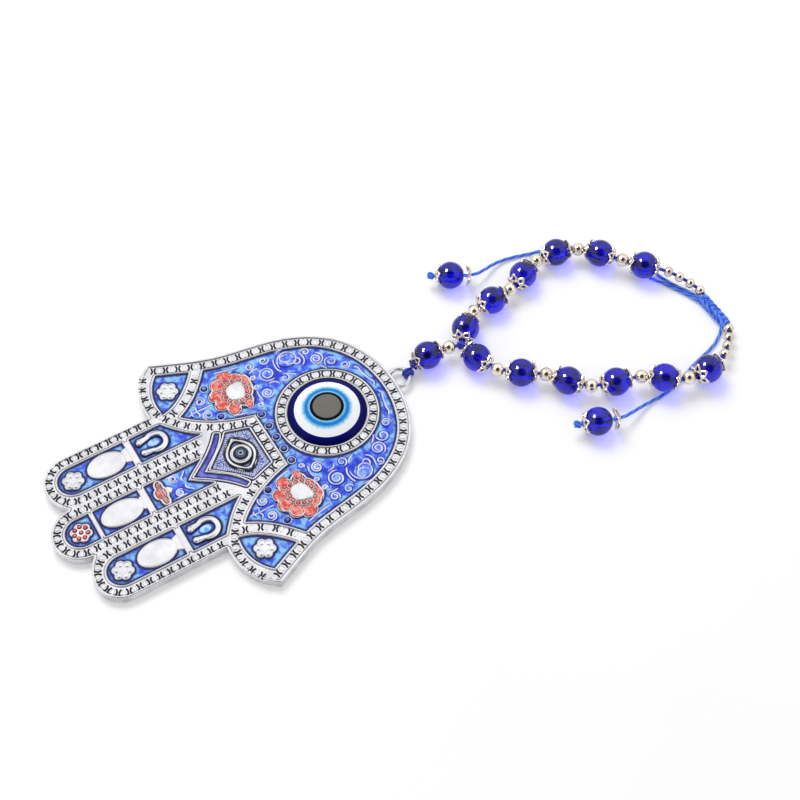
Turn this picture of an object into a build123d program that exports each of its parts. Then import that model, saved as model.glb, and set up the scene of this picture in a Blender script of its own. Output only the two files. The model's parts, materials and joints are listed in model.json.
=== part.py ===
from build123d import *
import os
from math import cos, pi, radians, sin, tan

# A cast hand with enamel cells and a glass eye, hung from a knotted string of glass beads.
# The hand lies on its back, fingers towards -Y, and its string lies beyond it towards +Y.
# All lengths are in millimetres. Outlines are measured from the middle of the glass eye.

# Cast hand
hand_half = 39.6
fingers_half = 23.5
middle_finger_half = 8.0
eye_to_palm_top = 21.5
eye_to_thumb_tip = 36.0
eye_to_finger_root = 43.2
eye_to_side_tip = 77.1
eye_to_middle_tip = 81.8
plate_thickness = 2.6
border_band = 3.8
finger_band = 3.6
finger_cell_half = 4.3
pocket_depth = 0.9
enamel_below_rim = 0.2
overrun = 5.0

# Hanging ring, cast in one piece with the hand
ring_wire_radius = 0.7
ring_below_face = 0.05
ring_middle_radius = 3.0
eye_to_ring = 23.1

# Glass eye and its setting
eye_setting_radius = 14.4
eye_glass_radius = 11.1
eye_white_radius = 9.1
eye_blue_radius = 6.1
eye_pupil_radius = 4.7
eye_rim_height = 0.15
eye_dome_height = 3.2
eye_layer = 0.4
glass_gap = 0.02

# Cast relief that stands up through the enamel
bar_height = 1.8
side_bar_drop = 51.0
side_oval_drop = 59.4
side_oval_half = 3.8
side_oval_half_length = 5.5
middle_bar_drop = 54.0
middle_oval_drop = 62.0
middle_oval_half_length = 6.0
tip_bar_drop = 68.9
tip_bar_height = 1.1
rosette_radius = 3.0
rosette_lobes = 6
horseshoe_drop = 44.8
horseshoe_radius = 3.5
horseshoe_band = 1.45
horseshoe_leg = 4.6
small_eye_drop = 26.8
small_eye_half = 5.9
small_eye_half_height = 4.2
small_eye_rim = 0.7
small_eye_boss_radius = 2.9
small_eye_boss_rise = 0.35
flower_reach = 6.3
flower_petal_radius = 1.9
flower_heart_half = 2.9
flower_rim = 0.35
finger_flower_drop = 50.6
finger_flower_half = 3.9
finger_flower_half_height = 1.9
dome_row_drop = 15.9
dome_row_pitch = 4.3
dome_row_count = 5
dome_radius = 0.85

# String, beads and silver
cord_radius = 0.5
loop_cord_radius = 0.45
loop_clearance = 0.03
bead_radius = 4.0
bead_bore_radius = 1.0
cap_gap = 0.06
cap_wall = 0.4
cap_reach = 3.15
cap_valley = 1.75
cap_points = 6
spacer_radius = 2.0
spacer_bore_radius = 0.85
small_ball_radius = 1.5
small_ball_bore_radius = 0.75
small_ball_pitch = 3.55
small_ball_from_end = 2.5
ring_knot_radius = 1.5
ring_knot_height = 1.25
ring_knot_round = 0.4
cord_end_length = 2.0
beads_per_strand = 6
small_balls_per_strand = 4
loose_cap_lift = 1.6
stem_spacer_from_end = 2.75
junction_knot_radius = 1.4
end_knot_radius = 1.25
slider_length = 12.2
slider_width = 3.5
slider_height = 2.7
slider_knots = 7
slider_valley = 0.3
slider_start = (20.4, 141.0, 1.42)

# Routes of the cord, from point to point, in the finished part's own frame
stem_route = [(-1.2, 55.55, 3.35), (-1.25, 60.6, 4.1), (-0.9, 65.5, 4.2), (0.3, 69.8, 3.9)]
upper_route = [
    (-0.1, 71.3, 4.0),
    (-8.5, 79.8, 4.05),
    (-8.0, 93.6, 4.05),
    (-14.9, 105.8, 4.05),
    (-12.0, 119.5, 4.2),
    (-0.5, 127.3, 4.7),
    (8.8, 136.2, 4.6),
    (14.5, 139.9, 3.2),
    (18.2, 141.7, 2.2),
    (21.2, 142.0, 1.7),
]
lower_route = [
    (1.3, 70.9, 4.0),
    (13.8, 73.9, 4.05),
    (20.9, 86.1, 4.05),
    (32.1, 93.5, 4.1),
    (35.3, 108.0, 4.7),
    (44.5, 118.3, 5.0),
    (42.5, 131.4, 3.9),
    (38.6, 136.4, 2.8),
    (35.0, 139.9, 2.0),
    (31.8, 141.6, 1.6),
]
upper_tail_route = [
    (21.2, 140.8, 1.0),
    (17.4, 139.7, 0.7),
    (13.4, 137.7, 0.6),
    (9.2, 136.0, 0.6),
    (4.6, 134.8, 0.6),
    (-0.2, 132.2, 0.6),
    (-4.2, 128.8, 0.6),
    (-8.8, 126.2, 0.6),
    (-13.0, 122.4, 0.6),
    (-16.4, 117.6, 0.6),
    (-18.1, 112.4, 0.6),
    (-19.1, 107.6, 0.6),
    (-20.6, 102.9, 0.6),
    (-21.2, 98.9, 0.8),
    (-20.8, 94.9, 1.6),
    (-19.5, 91.1, 2.8),
    (-18.9, 87.1, 3.8),
    (-22.2, 81.4, 4.06),
    (-25.1, 76.4, 3.9),
]
lower_tail_route = [
    (31.8, 139.9, 0.9),
    (33.6, 137.9, 0.7),
    (35.5, 134.9, 0.6),
    (36.8, 131.2, 0.6),
    (37.7, 127.2, 0.6),
    (38.9, 123.3, 0.6),
    (40.5, 119.3, 0.6),
    (41.7, 115.3, 0.6),
    (42.4, 111.2, 0.6),
    (42.4, 107.2, 0.8),
    (42.8, 103.2, 1.6),
    (43.6, 99.3, 2.8),
    (44.1, 95.2, 3.8),
    (41.7, 89.1, 4.06),
    (39.6, 83.7, 3.9),
]
spare_end_route = [
    (21.2, 139.7, 1.0),
    (17.4, 138.5, 0.7),
    (13.2, 136.4, 0.6),
    (9.4, 134.6, 0.6),
    (6.5, 132.6, 0.6),
]
junction_place = (0.5, 70.7, 3.85)

# Values worked out from the sizes above
floor_height = plate_thickness - pocket_depth
enamel_height = plate_thickness - enamel_below_rim
eye_y = (eye_to_middle_tip - eye_to_ring - ring_middle_radius - ring_wire_radius) / 2
side_finger_radius = (fingers_half - middle_finger_half) / 2
side_finger_x = (fingers_half + middle_finger_half) / 2
side_cell_x = fingers_half - finger_band - finger_cell_half
side_cell_round_drop = eye_to_side_tip - finger_band - finger_cell_half
middle_cell_round_drop = eye_to_middle_tip - finger_band - finger_cell_half
ring_z = plate_thickness - ring_below_face - ring_wire_radius
cap_outer = bead_radius + cap_gap + cap_wall
run_share = 0.45
spline_steps = 8
lobe_share = 0.385
waist_share = 0.82
flower_middle_share = 0.72
finger_petal_half_share = 0.38
upper_bead_shares = [0.425, 0.51, 0.5, 0.5, 0.5, 0.51]
lower_bead_shares = [0.43, 0.5, 0.49, 0.5, 0.48, 0.54]

# Places on the outlines, as shares of the hand's half width and of its reach to the middle fingertip
shoulder_shares = [(0.5, 0.18), (0.727, 0.0), (0.819, -0.22)]
thumb_under_shares = [(0.874, -0.499)]
collar_outer_shares = [(0.237, -0.213), (0.295, -0.3), (0.371, -0.369), (0.485, -0.435)]
cross_band_palm_shares = [(0.485, -0.435), (0.583, -0.361), (0.735, -0.292), (0.859, -0.251)]
cross_band_thumb_shares = [(0.563, -0.488), (0.611, -0.423), (0.669, -0.385), (0.758, -0.342), (0.874, -0.301)]
collar_inner_shares = [(0.212, -0.336), (0.275, -0.397), (0.326, -0.4315), (0.389, -0.463), (0.578, -0.533)]
eye_field_side_shares = [(0.159, -0.2555), (0.187, -0.2995), (0.212, -0.336)]
eye_field_tip_shares = [(0.212, -0.336), (0.126, -0.372), (0.063, -0.406), (0.0, -0.441)]
chevron_top_shares = [(0.225, -0.352), (0.126, -0.3875), (0.063, -0.423), (0.0, -0.461)]
chevron_bottom_shares = [(0.242, -0.368), (0.177, -0.394), (0.121, -0.422), (0.063, -0.458), (0.0, -0.502)]
chevron_rim_shares = [(0.263, -0.381), (0.177, -0.414), (0.121, -0.4425), (0.063, -0.482), (0.0, -0.521)]
petal_turn_shares = [57, 22, -14, -45, -79, -109, -145, 168]
petal_reach_shares = [0.68, 0.70, 0.82, 0.97, 1.0, 0.98, 0.95, 0.84]
finger_petal_shares = [(-0.62, 0.1), (0.0, 0.35), (0.62, 0.1), (0.0, -0.45)]
thumb_rosette_shares = [(0.725, -0.4255)]
flower_shares = [(0.4875, -0.2225)]


def at(shares):
    """Places on the hand from shares of its half width and its reach."""
    return [(across * hand_half, along * eye_to_middle_tip) for across, along in shares]


def both_sides(half):
    """A shape and its mirror image across the hand's middle line."""
    return half + mirror(half, about=Plane.YZ)


def block(left, right, low, high):
    """A flat rectangle between two places across and two along the hand."""
    return Pos((left + right) / 2, (low + high) / 2) * Rectangle(right - left, high - low)


def slab(face, low, high):
    """A flat face thickened between two heights."""
    return Pos(0, 0, low) * extrude(face, high - low)


def closed_face(*edges):
    """A face inside the given edges, closed by a straight line where they stay open."""
    return make_face(Wire(edges))


# Outline of the hand


def mirrored(place):
    """A place moved to the other side of the hand's middle line."""
    return (-place[0], place[1])


def outline_face(lower_edges):
    """A face under the palm's crown and the thumbs, closed by edges given for the right half."""
    top = (0, eye_to_palm_top)
    thumb_tip = (hand_half, -eye_to_thumb_tip)
    finger_root = (fingers_half, -eye_to_finger_root)
    shoulder = at(shoulder_shares)
    left_shoulder = [mirrored(place) for place in reversed(shoulder)]
    crown = Spline(
        mirrored(thumb_tip), *left_shoulder, top, *shoulder, thumb_tip, tangents=[(0.4, 0.92), (0.4, -0.92)]
    )
    right = [ThreePointArc(thumb_tip, at(thumb_under_shares)[0], finger_root), *lower_edges]
    left = [mirror(edge, about=Plane.YZ).edge() for edge in right]
    return make_face(Wire([crown, *right, *left], sequenced=True))


def hand_outline():
    """The hand seen from the front: palm, two curled thumbs and three fingers."""
    finger_root = (fingers_half, -eye_to_finger_root)
    side_middle = -(eye_to_side_tip - side_finger_radius)
    side_end = (side_finger_x, -eye_to_side_tip)
    notch = (middle_finger_half, -(eye_to_middle_tip - middle_finger_half))
    corner_share = cos(pi / 4)
    end_bend = (
        side_finger_x + side_finger_radius * corner_share,
        side_middle - side_finger_radius * corner_share,
    )
    tip_bend = (middle_finger_half * corner_share, notch[1] - middle_finger_half * corner_share)
    lower_edges = [
        Line(finger_root, (fingers_half, side_middle)),
        ThreePointArc((fingers_half, side_middle), end_bend, side_end),
        TangentArc(side_end, notch, tangent=(-1, 0)),
        ThreePointArc(notch, tip_bend, (0, -eye_to_middle_tip)),
    ]
    return outline_face(lower_edges)


def palm_outline():
    """The palm and thumbs with the fingers as one straight block, which the border follows."""
    finger_root = (fingers_half, -eye_to_finger_root)
    low_corner = (fingers_half, -(eye_to_finger_root + 2 * border_band))
    return outline_face([Line(finger_root, low_corner), Line(low_corner, (0, low_corner[1]))])


# Cells of the face, which hold the enamel


def inner_outline(outline):
    """The outline moved in by the border, with its freely curved edges redrawn as splines."""
    edges = []
    for edge in offset(outline, -border_band).edges():
        if edge.geom_type == GeomType.OFFSET:
            points = [edge @ (count / spline_steps) for count in range(spline_steps + 1)]
            edge = Edge.make_spline(points, tangents=[edge % 0, edge % 1])
        edges.append(edge)
    return make_face(Wire(edges, sequenced=True))


def palm_cell(inner):
    """The large cell round the glass eye, down to the collar and the thumbs."""
    collar = at(collar_outer_shares)
    cross = at(cross_band_palm_shares)
    beyond = (hand_half + overrun, cross[-1][1])
    corner = (hand_half + overrun, eye_to_palm_top + overrun)
    half = closed_face(
        Line((0, collar[0][1]), collar[0]),
        Spline(*collar),
        Spline(*cross),
        Line(cross[-1], beyond),
        Line(beyond, corner),
        Line(corner, (0, corner[1])),
        Line((0, corner[1]), (0, collar[0][1])),
    )
    return inner & both_sides(half) - Circle(eye_setting_radius)


def right_thumb_cell(inner):
    """The cell of one thumb, outside its crossing band."""
    cross = at(cross_band_thumb_shares)
    beyond = (hand_half + overrun, cross[-1][1])
    below = (hand_half + overrun, -(eye_to_finger_root + overrun))
    region = closed_face(Spline(*cross), Line(cross[-1], beyond), Line(beyond, below), Line(below, cross[0]))
    return inner & region


def finger_slot(middle, top, round_drop):
    """A straight cell with a round end, as on every finger."""
    straight = block(middle - finger_cell_half, middle + finger_cell_half, -round_drop, top)
    return straight + Pos(middle, -round_drop) * Circle(finger_cell_half)


def right_finger_cell():
    """The cell of one side finger, under the collar and above and below its bar."""
    collar = at(collar_inner_shares)[1:]
    chevron_tip = at(chevron_rim_shares)[-1]
    right_edge = hand_half + overrun
    bottom = -(eye_to_side_tip + overrun)
    under = closed_face(
        Spline(*collar),
        Line(collar[-1], (right_edge, collar[-1][1])),
        Line((right_edge, collar[-1][1]), (right_edge, bottom)),
        Line((right_edge, bottom), (0, bottom)),
        Line((0, bottom), chevron_tip),
        Line(chevron_tip, collar[0]),
    )
    cell = finger_slot(side_cell_x, -eye_to_palm_top, side_cell_round_drop) & under
    bar = block(0, fingers_half, -(side_bar_drop + bar_height), -side_bar_drop)
    return cell - bar


def middle_finger_cell():
    """The cell of the middle finger, under the chevron and between its two bars."""
    rim = at(chevron_rim_shares)
    below = (rim[0][0], -(eye_to_middle_tip + overrun))
    half = closed_face(
        Spline(*rim), Line(rim[-1], (0, below[1])), Line((0, below[1]), below), Line(below, rim[0])
    )
    cell = finger_slot(0, -eye_to_palm_top, middle_cell_round_drop) & both_sides(half)
    for drop, height in ((middle_bar_drop, bar_height), (tip_bar_drop, tip_bar_height)):
        cell -= block(-fingers_half, fingers_half, -(drop + height), -drop)
    return cell


def eye_field_cell():
    """The pointed cell between the collars that holds the small eye."""
    side = at(eye_field_side_shares)
    tip = at(eye_field_tip_shares)
    top = (0, side[0][1])
    return both_sides(closed_face(Line(top, side[0]), Spline(*side), Spline(*tip), Line(tip[-1], top)))


def chevron_cell():
    """The V-shaped cell under the small eye."""
    top = at(chevron_top_shares)
    bottom = at(chevron_bottom_shares)
    half = closed_face(
        Spline(*top), Line(top[-1], bottom[-1]), Spline(*reversed(bottom)), Line(bottom[0], top[0])
    )
    return both_sides(half)


# Relief inside the cells


def rosette():
    """A flower of round lobes."""
    lobe_radius = rosette_radius * lobe_share
    face = Circle(rosette_radius - lobe_radius)
    for place in PolarLocations(rosette_radius - lobe_radius, rosette_lobes):
        face += place * Circle(lobe_radius)
    return face


def horseshoe():
    """A horseshoe with its feet down."""
    inner = horseshoe_radius - horseshoe_band
    drop = horseshoe_radius * (1 - waist_share**2) ** 0.5
    inner_drop = inner * (1 - waist_share**2) ** 0.5
    foot_out = horseshoe_radius * waist_share
    foot_in = inner * waist_share / 2
    return closed_face(
        ThreePointArc((foot_out, -drop), (0, horseshoe_radius), (-foot_out, -drop)),
        Line((-foot_out, -drop), (-foot_out, -horseshoe_leg)),
        Line((-foot_out, -horseshoe_leg), (-foot_in, -horseshoe_leg)),
        Line((-foot_in, -horseshoe_leg), (-inner * waist_share, -inner_drop)),
        ThreePointArc((-inner * waist_share, -inner_drop), (0, inner), (inner * waist_share, -inner_drop)),
        Line((inner * waist_share, -inner_drop), (foot_in, -horseshoe_leg)),
        Line((foot_in, -horseshoe_leg), (foot_out, -horseshoe_leg)),
        Line((foot_out, -horseshoe_leg), (foot_out, -drop)),
    )


def almond(half, half_height):
    """The outline of an open eye."""
    return closed_face(
        ThreePointArc((-half, 0), (0, half_height), (half, 0)),
        ThreePointArc((half, 0), (0, -half_height), (-half, 0)),
    )


def flower_outline(grown):
    """The scalloped outline of a palm flower, grown by its cast rim or not."""
    face = Circle(flower_reach * flower_middle_share + grown)
    for turn, reach in zip(petal_turn_shares, petal_reach_shares):
        out = flower_reach * reach - flower_petal_radius / 2
        place = (out * cos(radians(turn)), out * sin(radians(turn)))
        face += Pos(*place) * Circle(flower_petal_radius + grown)
    return face


def flower_heart():
    """The square heart of a palm flower."""
    return RectangleRounded(2 * flower_heart_half, 2 * flower_heart_half, flower_heart_half / 2)


def finger_flower(grown):
    """The small flower across the middle finger."""
    petal_half = finger_flower_half * finger_petal_half_share
    petal_half_height = finger_flower_half_height / 2
    face = Rectangle(3 * petal_half, finger_flower_half_height)
    for across, along in finger_petal_shares:
        place = Pos(across * finger_flower_half, along * finger_flower_half_height)
        face += place * Ellipse(petal_half + grown, petal_half_height + grown)
    return face


def right_side(shape, across, drop):
    """A relief shape set on the right half of the hand."""
    return Pos(across, -drop) * shape


def set_at(shape, shares):
    """A relief shape set on the right half of the hand at shares of its sizes."""
    return Pos(*at(shares)[0]) * shape


# Pieces of the string


def corner_radii(route):
    """The radius of the arc at each corner of a cord's route."""
    points = [Vector(*point) for point in route]
    radii = []
    for before, corner, after in zip(points, points[1:], points[2:]):
        run = min((corner - before).length, (after - corner).length)
        half_turn = radians((corner - before).get_angle(after - corner) / 2)
        radii.append(run_share * run / tan(half_turn))
    return radii


def cord_path(route):
    """Straight runs joined by tangent arcs along a route."""
    return FilletPolyline(*route, radius=corner_radii(route))


def cord(route, radius):
    """A round cord along a route."""
    path = cord_path(route)
    return sweep(Plane(origin=path @ 0, z_dir=path % 0) * Circle(radius), path=path)


def on_run(route, index, share):
    """The place and direction of a piece strung on a straight run of a route."""
    start = Vector(*route[index])
    run = Vector(*route[index + 1]) - start
    return Plane(origin=start + run * share, z_dir=run)


def on_corner(route, index):
    """The place and direction of a piece strung on the arc at a corner of a route."""
    before, corner, after = (Vector(*point) for point in route[index - 1 : index + 2])
    back = (before - corner).normalized()
    ahead = (after - corner).normalized()
    half_turn = radians((corner - before).get_angle(after - corner) / 2)
    inset = corner_radii(route)[index - 1] * (1 / cos(half_turn) - 1)
    return Plane(origin=corner + (back + ahead).normalized() * inset, z_dir=ahead - back)


def from_end(route, distance):
    """The place and direction of a piece at a distance from the end of a route."""
    path = cord_path(route)
    along = path.length - distance
    where = path.position_at(along, PositionMode.LENGTH)
    return Plane(origin=where, z_dir=path.tangent_at(along, PositionMode.LENGTH))


def drilled_ball(radius, bore_radius):
    """A round ball with a hole through it for the cord."""
    return Sphere(radius) - Cylinder(bore_radius, 3 * radius)


def star_cap():
    """A thin star-shaped cap that hugs the +Z side of a bead."""
    inside = bead_radius + cap_gap
    shell = Sphere(cap_outer) - Sphere(inside)
    points = []
    for count in range(2 * cap_points):
        reach = cap_valley if count % 2 else cap_reach
        points.append((reach * cos(pi * count / cap_points), reach * sin(pi * count / cap_points)))
    star = make_face(Polyline(*points, close=True)) - Circle(bead_bore_radius)
    return shell & extrude(star, cap_outer)


def cap_pair(place):
    """The two caps of one bead."""
    return [place * cap, place * Rot(180, 0, 0) * cap]


def knot(place, radius):
    """A tight round knot."""
    return Pos(*place) * Sphere(radius)


def ring_knot():
    """The flat knot that closes the loops on the ring, with its two cut ends."""
    place = Plane(origin=stem_route[0], z_dir=Vector(*stem_route[1]) - Vector(*stem_route[0]))
    collar = Cylinder(ring_knot_radius, ring_knot_height)
    collar = fillet(collar.edges().filter_by(GeomType.CIRCLE), ring_knot_round)
    for turn in (115, 165):
        collar += Rot(0, 0, turn) * Pos(ring_knot_radius, 0, 0) * Rot(0, 90, 0) * Cylinder(
            loop_cord_radius, cord_end_length
        )
    return place * collar


def slider_knot():
    """The row of square knots that slides on both strands."""
    pitch = slider_length / slider_knots
    bar = Box(slider_length - pitch, slider_width - 2 * slider_valley, slider_height - 2 * slider_valley)
    for count in range(slider_knots):
        section = Plane.YZ * SlotOverall(slider_width, slider_height)
        ridge = extrude(section, (pitch - slider_valley) / 2, both=True)
        bar += Pos((count - (slider_knots - 1) / 2) * pitch, 0, 0) * ridge
    start_x, middle_y, middle_z = slider_start
    return Pos(start_x + slider_length / 2, middle_y, middle_z) * bar


def ring_loops():
    """The two turns of cord round the wire of the ring."""
    reach = 2 * loop_cord_radius + loop_clearance / 2
    sag = ring_middle_radius - (ring_middle_radius**2 - reach**2) ** 0.5
    turn_radius = ring_wire_radius + sag + loop_clearance + loop_cord_radius
    turn = Rot(0, 90, 0) * Torus(turn_radius, loop_cord_radius)
    middle = Pos(0, eye_y + eye_to_ring + ring_middle_radius, ring_z)
    apart = loop_cord_radius + loop_clearance / 2
    return [middle * Pos(side * apart, 0, 0) * turn for side in (-1, 1)]


# Build the hand


outline = hand_outline()
inner = inner_outline(palm_outline())
palm = palm_cell(inner)
right_thumb = right_thumb_cell(inner)
right_finger = right_finger_cell()
middle_finger = middle_finger_cell()
eye_field = eye_field_cell()
chevron = chevron_cell()

right_thumb -= set_at(rosette(), thumb_rosette_shares)
right_finger -= right_side(Ellipse(side_oval_half, side_oval_half_length), side_cell_x, side_oval_drop)
right_finger -= right_side(horseshoe(), side_cell_x, horseshoe_drop)
right_finger -= right_side(rosette(), side_cell_x, side_cell_round_drop)
middle_finger -= Pos(0, -middle_oval_drop) * Ellipse(side_oval_half, middle_oval_half_length)
middle_finger -= Pos(0, -middle_cell_round_drop) * rosette()
finger_petals = Pos(0, -finger_flower_drop) * finger_flower(0) & middle_finger
middle_finger -= Pos(0, -finger_flower_drop) * finger_flower(flower_rim)
eye_rim = almond(small_eye_half, small_eye_half_height)
eye_rim -= almond(small_eye_half - 2 * small_eye_rim, small_eye_half_height - small_eye_rim)
eye_field -= Pos(0, -small_eye_drop) * (eye_rim + Circle(small_eye_boss_radius))
palm -= both_sides(set_at(flower_outline(flower_rim), flower_shares))
right_petals = set_at(flower_outline(0) - flower_heart(), flower_shares)
for count in range(dome_row_count):
    palm -= Pos((count - (dome_row_count - 1) / 2) * dome_row_pitch, -dome_row_drop) * Circle(dome_radius)

enamel_faces = {
    "palm_enamel": palm,
    "eye_field_enamel": eye_field,
    "chevron_enamel": chevron,
    "middle_finger_enamel": middle_finger,
    "finger_flower_enamel": finger_petals,
    "right_finger_enamel": right_finger,
    "left_finger_enamel": mirror(right_finger, about=Plane.YZ),
    "right_thumb_enamel": right_thumb,
    "left_thumb_enamel": mirror(right_thumb, about=Plane.YZ),
    "right_flower_enamel": right_petals,
    "left_flower_enamel": mirror(right_petals, about=Plane.YZ),
}

plate = slab(outline, 0, plate_thickness)
plate += Pos(0, eye_to_ring, ring_z) * Torus(ring_middle_radius, ring_wire_radius)
for face in [*enamel_faces.values(), Circle(eye_glass_radius)]:
    plate -= slab(face, floor_height, plate_thickness + overrun)
for radius, rise in ((small_eye_boss_radius, 1), (small_eye_boss_radius / 2, 2)):
    step = slab(Circle(radius), floor_height, plate_thickness + rise * small_eye_boss_rise)
    plate += Pos(0, -small_eye_drop, 0) * step

hand = {"hand_plate": plate}
for name, face in enamel_faces.items():
    hand[name] = slab(face, floor_height, enamel_height)

dome_rise = eye_dome_height - eye_rim_height
dome_radius_of_curve = (eye_glass_radius**2 + dome_rise**2) / (2 * dome_rise)
dome_middle = plate_thickness + eye_dome_height - dome_radius_of_curve
dome = Pos(0, 0, dome_middle) * Sphere(dome_radius_of_curve)
glass_layers = [
    ("eye_navy_glass", eye_glass_radius - glass_gap),
    ("eye_white_glass", eye_white_radius),
    ("eye_blue_glass", eye_blue_radius),
    ("eye_pupil_glass", eye_pupil_radius),
]
glass_top = plate_thickness + eye_dome_height + overrun
for count, (name, radius) in enumerate(glass_layers):
    layer = slab(Circle(radius), floor_height + count * eye_layer, glass_top) & dome
    if count + 1 < len(glass_layers):
        next_radius = glass_layers[count + 1][1] + glass_gap
        next_floor = floor_height + (count + 1) * eye_layer - glass_gap
        layer -= slab(Circle(next_radius), next_floor, glass_top)
    hand[name] = layer

# Build the string


bead = drilled_ball(bead_radius, bead_bore_radius)
cap = star_cap()
spacer = drilled_ball(spacer_radius, spacer_bore_radius)
small_ball = drilled_ball(small_ball_radius, small_ball_bore_radius)
strands = {"upper": upper_route, "lower": lower_route}
bead_shares = {"upper": upper_bead_shares, "lower": lower_bead_shares}
tails = {"upper_tail": upper_tail_route, "lower_tail": lower_tail_route}

stem_place = on_corner(stem_route, 1)
string = {
    "ring_loops": ring_loops(),
    "ring_knot": [ring_knot()],
    "stem_cord": [cord(stem_route, cord_radius)],
    "stem_bead": [stem_place * bead],
    "stem_caps": cap_pair(stem_place),
    "stem_spacer": [from_end(stem_route, stem_spacer_from_end) * spacer],
    "junction_knot": [knot(junction_place, junction_knot_radius)],
    "slider_knot": [slider_knot()],
    "spare_cord_end": [cord(spare_end_route, cord_radius)],
}
bead_places = {"stem_bead": stem_place}
for side, route in strands.items():
    string[f"{side}_cord"] = [cord(route, cord_radius)]
    caps = []
    for count in range(beads_per_strand):
        place = on_run(route, count, bead_shares[side][count])
        bead_places[f"{side}_bead_{count + 1}"] = place
        string[f"{side}_bead_{count + 1}"] = [place * bead]
        caps += cap_pair(place)
    string[f"{side}_caps"] = caps
    string[f"{side}_spacers"] = [on_corner(route, count + 1) * spacer for count in range(beads_per_strand - 1)]
    string[f"{side}_small_balls"] = [
        from_end(route, small_ball_from_end + count * small_ball_pitch) * small_ball
        for count in range(small_balls_per_strand)
    ]
for side, route in tails.items():
    place = on_corner(route, len(route) - 2)
    bead_places[f"{side}_bead"] = place
    string[f"{side}_cord"] = [cord(route, cord_radius)]
    string[f"{side}_bead"] = [place * bead]
    string[f"{side}_end_cap"] = [place * cap]
    string[f"{side}_loose_cap"] = [place * Pos(0, 0, -loose_cap_lift) * Rot(180, 0, 0) * cap]
    string[f"{side}_end_knot"] = [knot(route[-1], end_knot_radius)]

# Write the pieces


os.makedirs("parts", exist_ok=True)
for name, piece in hand.items():
    export_step(Pos(0, eye_y, 0) * piece, f"parts/{name}.step")
for name, pieces in string.items():
    export_step(pieces[0] if len(pieces) == 1 else Compound(children=pieces), f"parts/{name}.step")

for name, route in {"stem": stem_route, "spare_end": spare_end_route, **strands, **tails}.items():
    path = cord_path(route)
    tight = min(corner_radii(route))
    volume = cord(route, cord_radius).volume
    print(f"{name}: length {path.length:.1f}, tightest arc {tight:.1f}, all arcs", end=" ")
    print([round(radius, 1) for radius in corner_radii(route)], end=" ")
    print(f"volume ratio {volume / (pi * cord_radius**2 * path.length):.4f}")
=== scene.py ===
"""Dresses the hanging hand: enamel, cast relief, glass eye, beads, star caps and cord."""

import json
import logging
from dataclasses import dataclass, field
from enum import Enum
from math import cos, pi, radians, sin, tau

import bpy
import numpy as np
from mathutils import Matrix, Quaternion, Vector
from mathutils.geometry import delaunay_2d_cdt

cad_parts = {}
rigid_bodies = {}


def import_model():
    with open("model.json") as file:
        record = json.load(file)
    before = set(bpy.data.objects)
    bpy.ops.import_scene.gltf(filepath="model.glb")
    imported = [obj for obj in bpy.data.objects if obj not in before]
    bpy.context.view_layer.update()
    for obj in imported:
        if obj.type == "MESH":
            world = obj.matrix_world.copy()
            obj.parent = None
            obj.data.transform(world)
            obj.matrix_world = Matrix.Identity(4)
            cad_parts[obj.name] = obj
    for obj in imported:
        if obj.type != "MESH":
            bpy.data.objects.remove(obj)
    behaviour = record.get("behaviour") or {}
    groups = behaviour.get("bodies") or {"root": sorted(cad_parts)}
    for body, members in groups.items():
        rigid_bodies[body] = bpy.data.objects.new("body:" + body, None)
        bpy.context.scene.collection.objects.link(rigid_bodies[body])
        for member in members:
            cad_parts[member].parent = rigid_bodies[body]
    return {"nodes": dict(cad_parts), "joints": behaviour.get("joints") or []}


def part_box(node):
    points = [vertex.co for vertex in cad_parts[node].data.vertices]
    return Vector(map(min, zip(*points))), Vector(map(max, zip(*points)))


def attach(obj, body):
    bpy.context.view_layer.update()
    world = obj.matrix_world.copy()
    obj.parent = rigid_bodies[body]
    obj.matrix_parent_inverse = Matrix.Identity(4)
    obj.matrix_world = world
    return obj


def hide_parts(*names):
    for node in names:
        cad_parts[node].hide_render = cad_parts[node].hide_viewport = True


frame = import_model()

log = logging.getLogger("hanging_hand")

MM = 0.001
# Heights over the plate's back, and the glass eye's place along the hand, in millimetres
FLOOR_OF_CELLS = 1.7
ENAMEL_TOP = 2.4
PLATE_TOP = 2.6
EYE_Y = sum(corner.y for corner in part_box("eye_navy_glass")) / 2 / MM
FROM_EYE = np.array([0.0, EYE_Y, 0.0])
# How far across and how high a ridge's section runs, in shares of its half width and its height
RIDGE = ((-1.0, -0.4), (-0.85, 0.45), (-0.35, 0.92), (0.35, 0.92), (0.85, 0.45), (1.0, -0.4))
# A ridge's size at an open end, as a share of its full size
RIDGE_END = 0.35
# How much of each side a cut corner takes, and how much of its distance a moved line has to keep
CORNER_CUT = 0.25
KEPT_GAP = 0.94
# How deep a cushion's foot reaches, and how far off its height a level face may lie, in millimetres
FOOT_DEPTH = 0.1
LEVEL = 0.002


class Body(Enum):
    """The two large bodies that pieces ride on."""

    HAND = "hand"
    STRING = "string"


# Lines and areas in millimetres


def colour(code: str) -> tuple[float, float, float, float]:
    """A colour from its six-digit code, made linear by the sRGB curve.

    Args:
        code: Red, green and blue as six hexadecimal digits.

    Returns:
        The linear colour with full alpha.
    """
    parts = [int(code[start : start + 2], 16) / 255 for start in (0, 2, 4)]
    linear = [part / 12.92 if part <= 0.04045 else ((part + 0.055) / 1.055) ** 2.4 for part in parts]
    return (*linear, 1.0)


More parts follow.
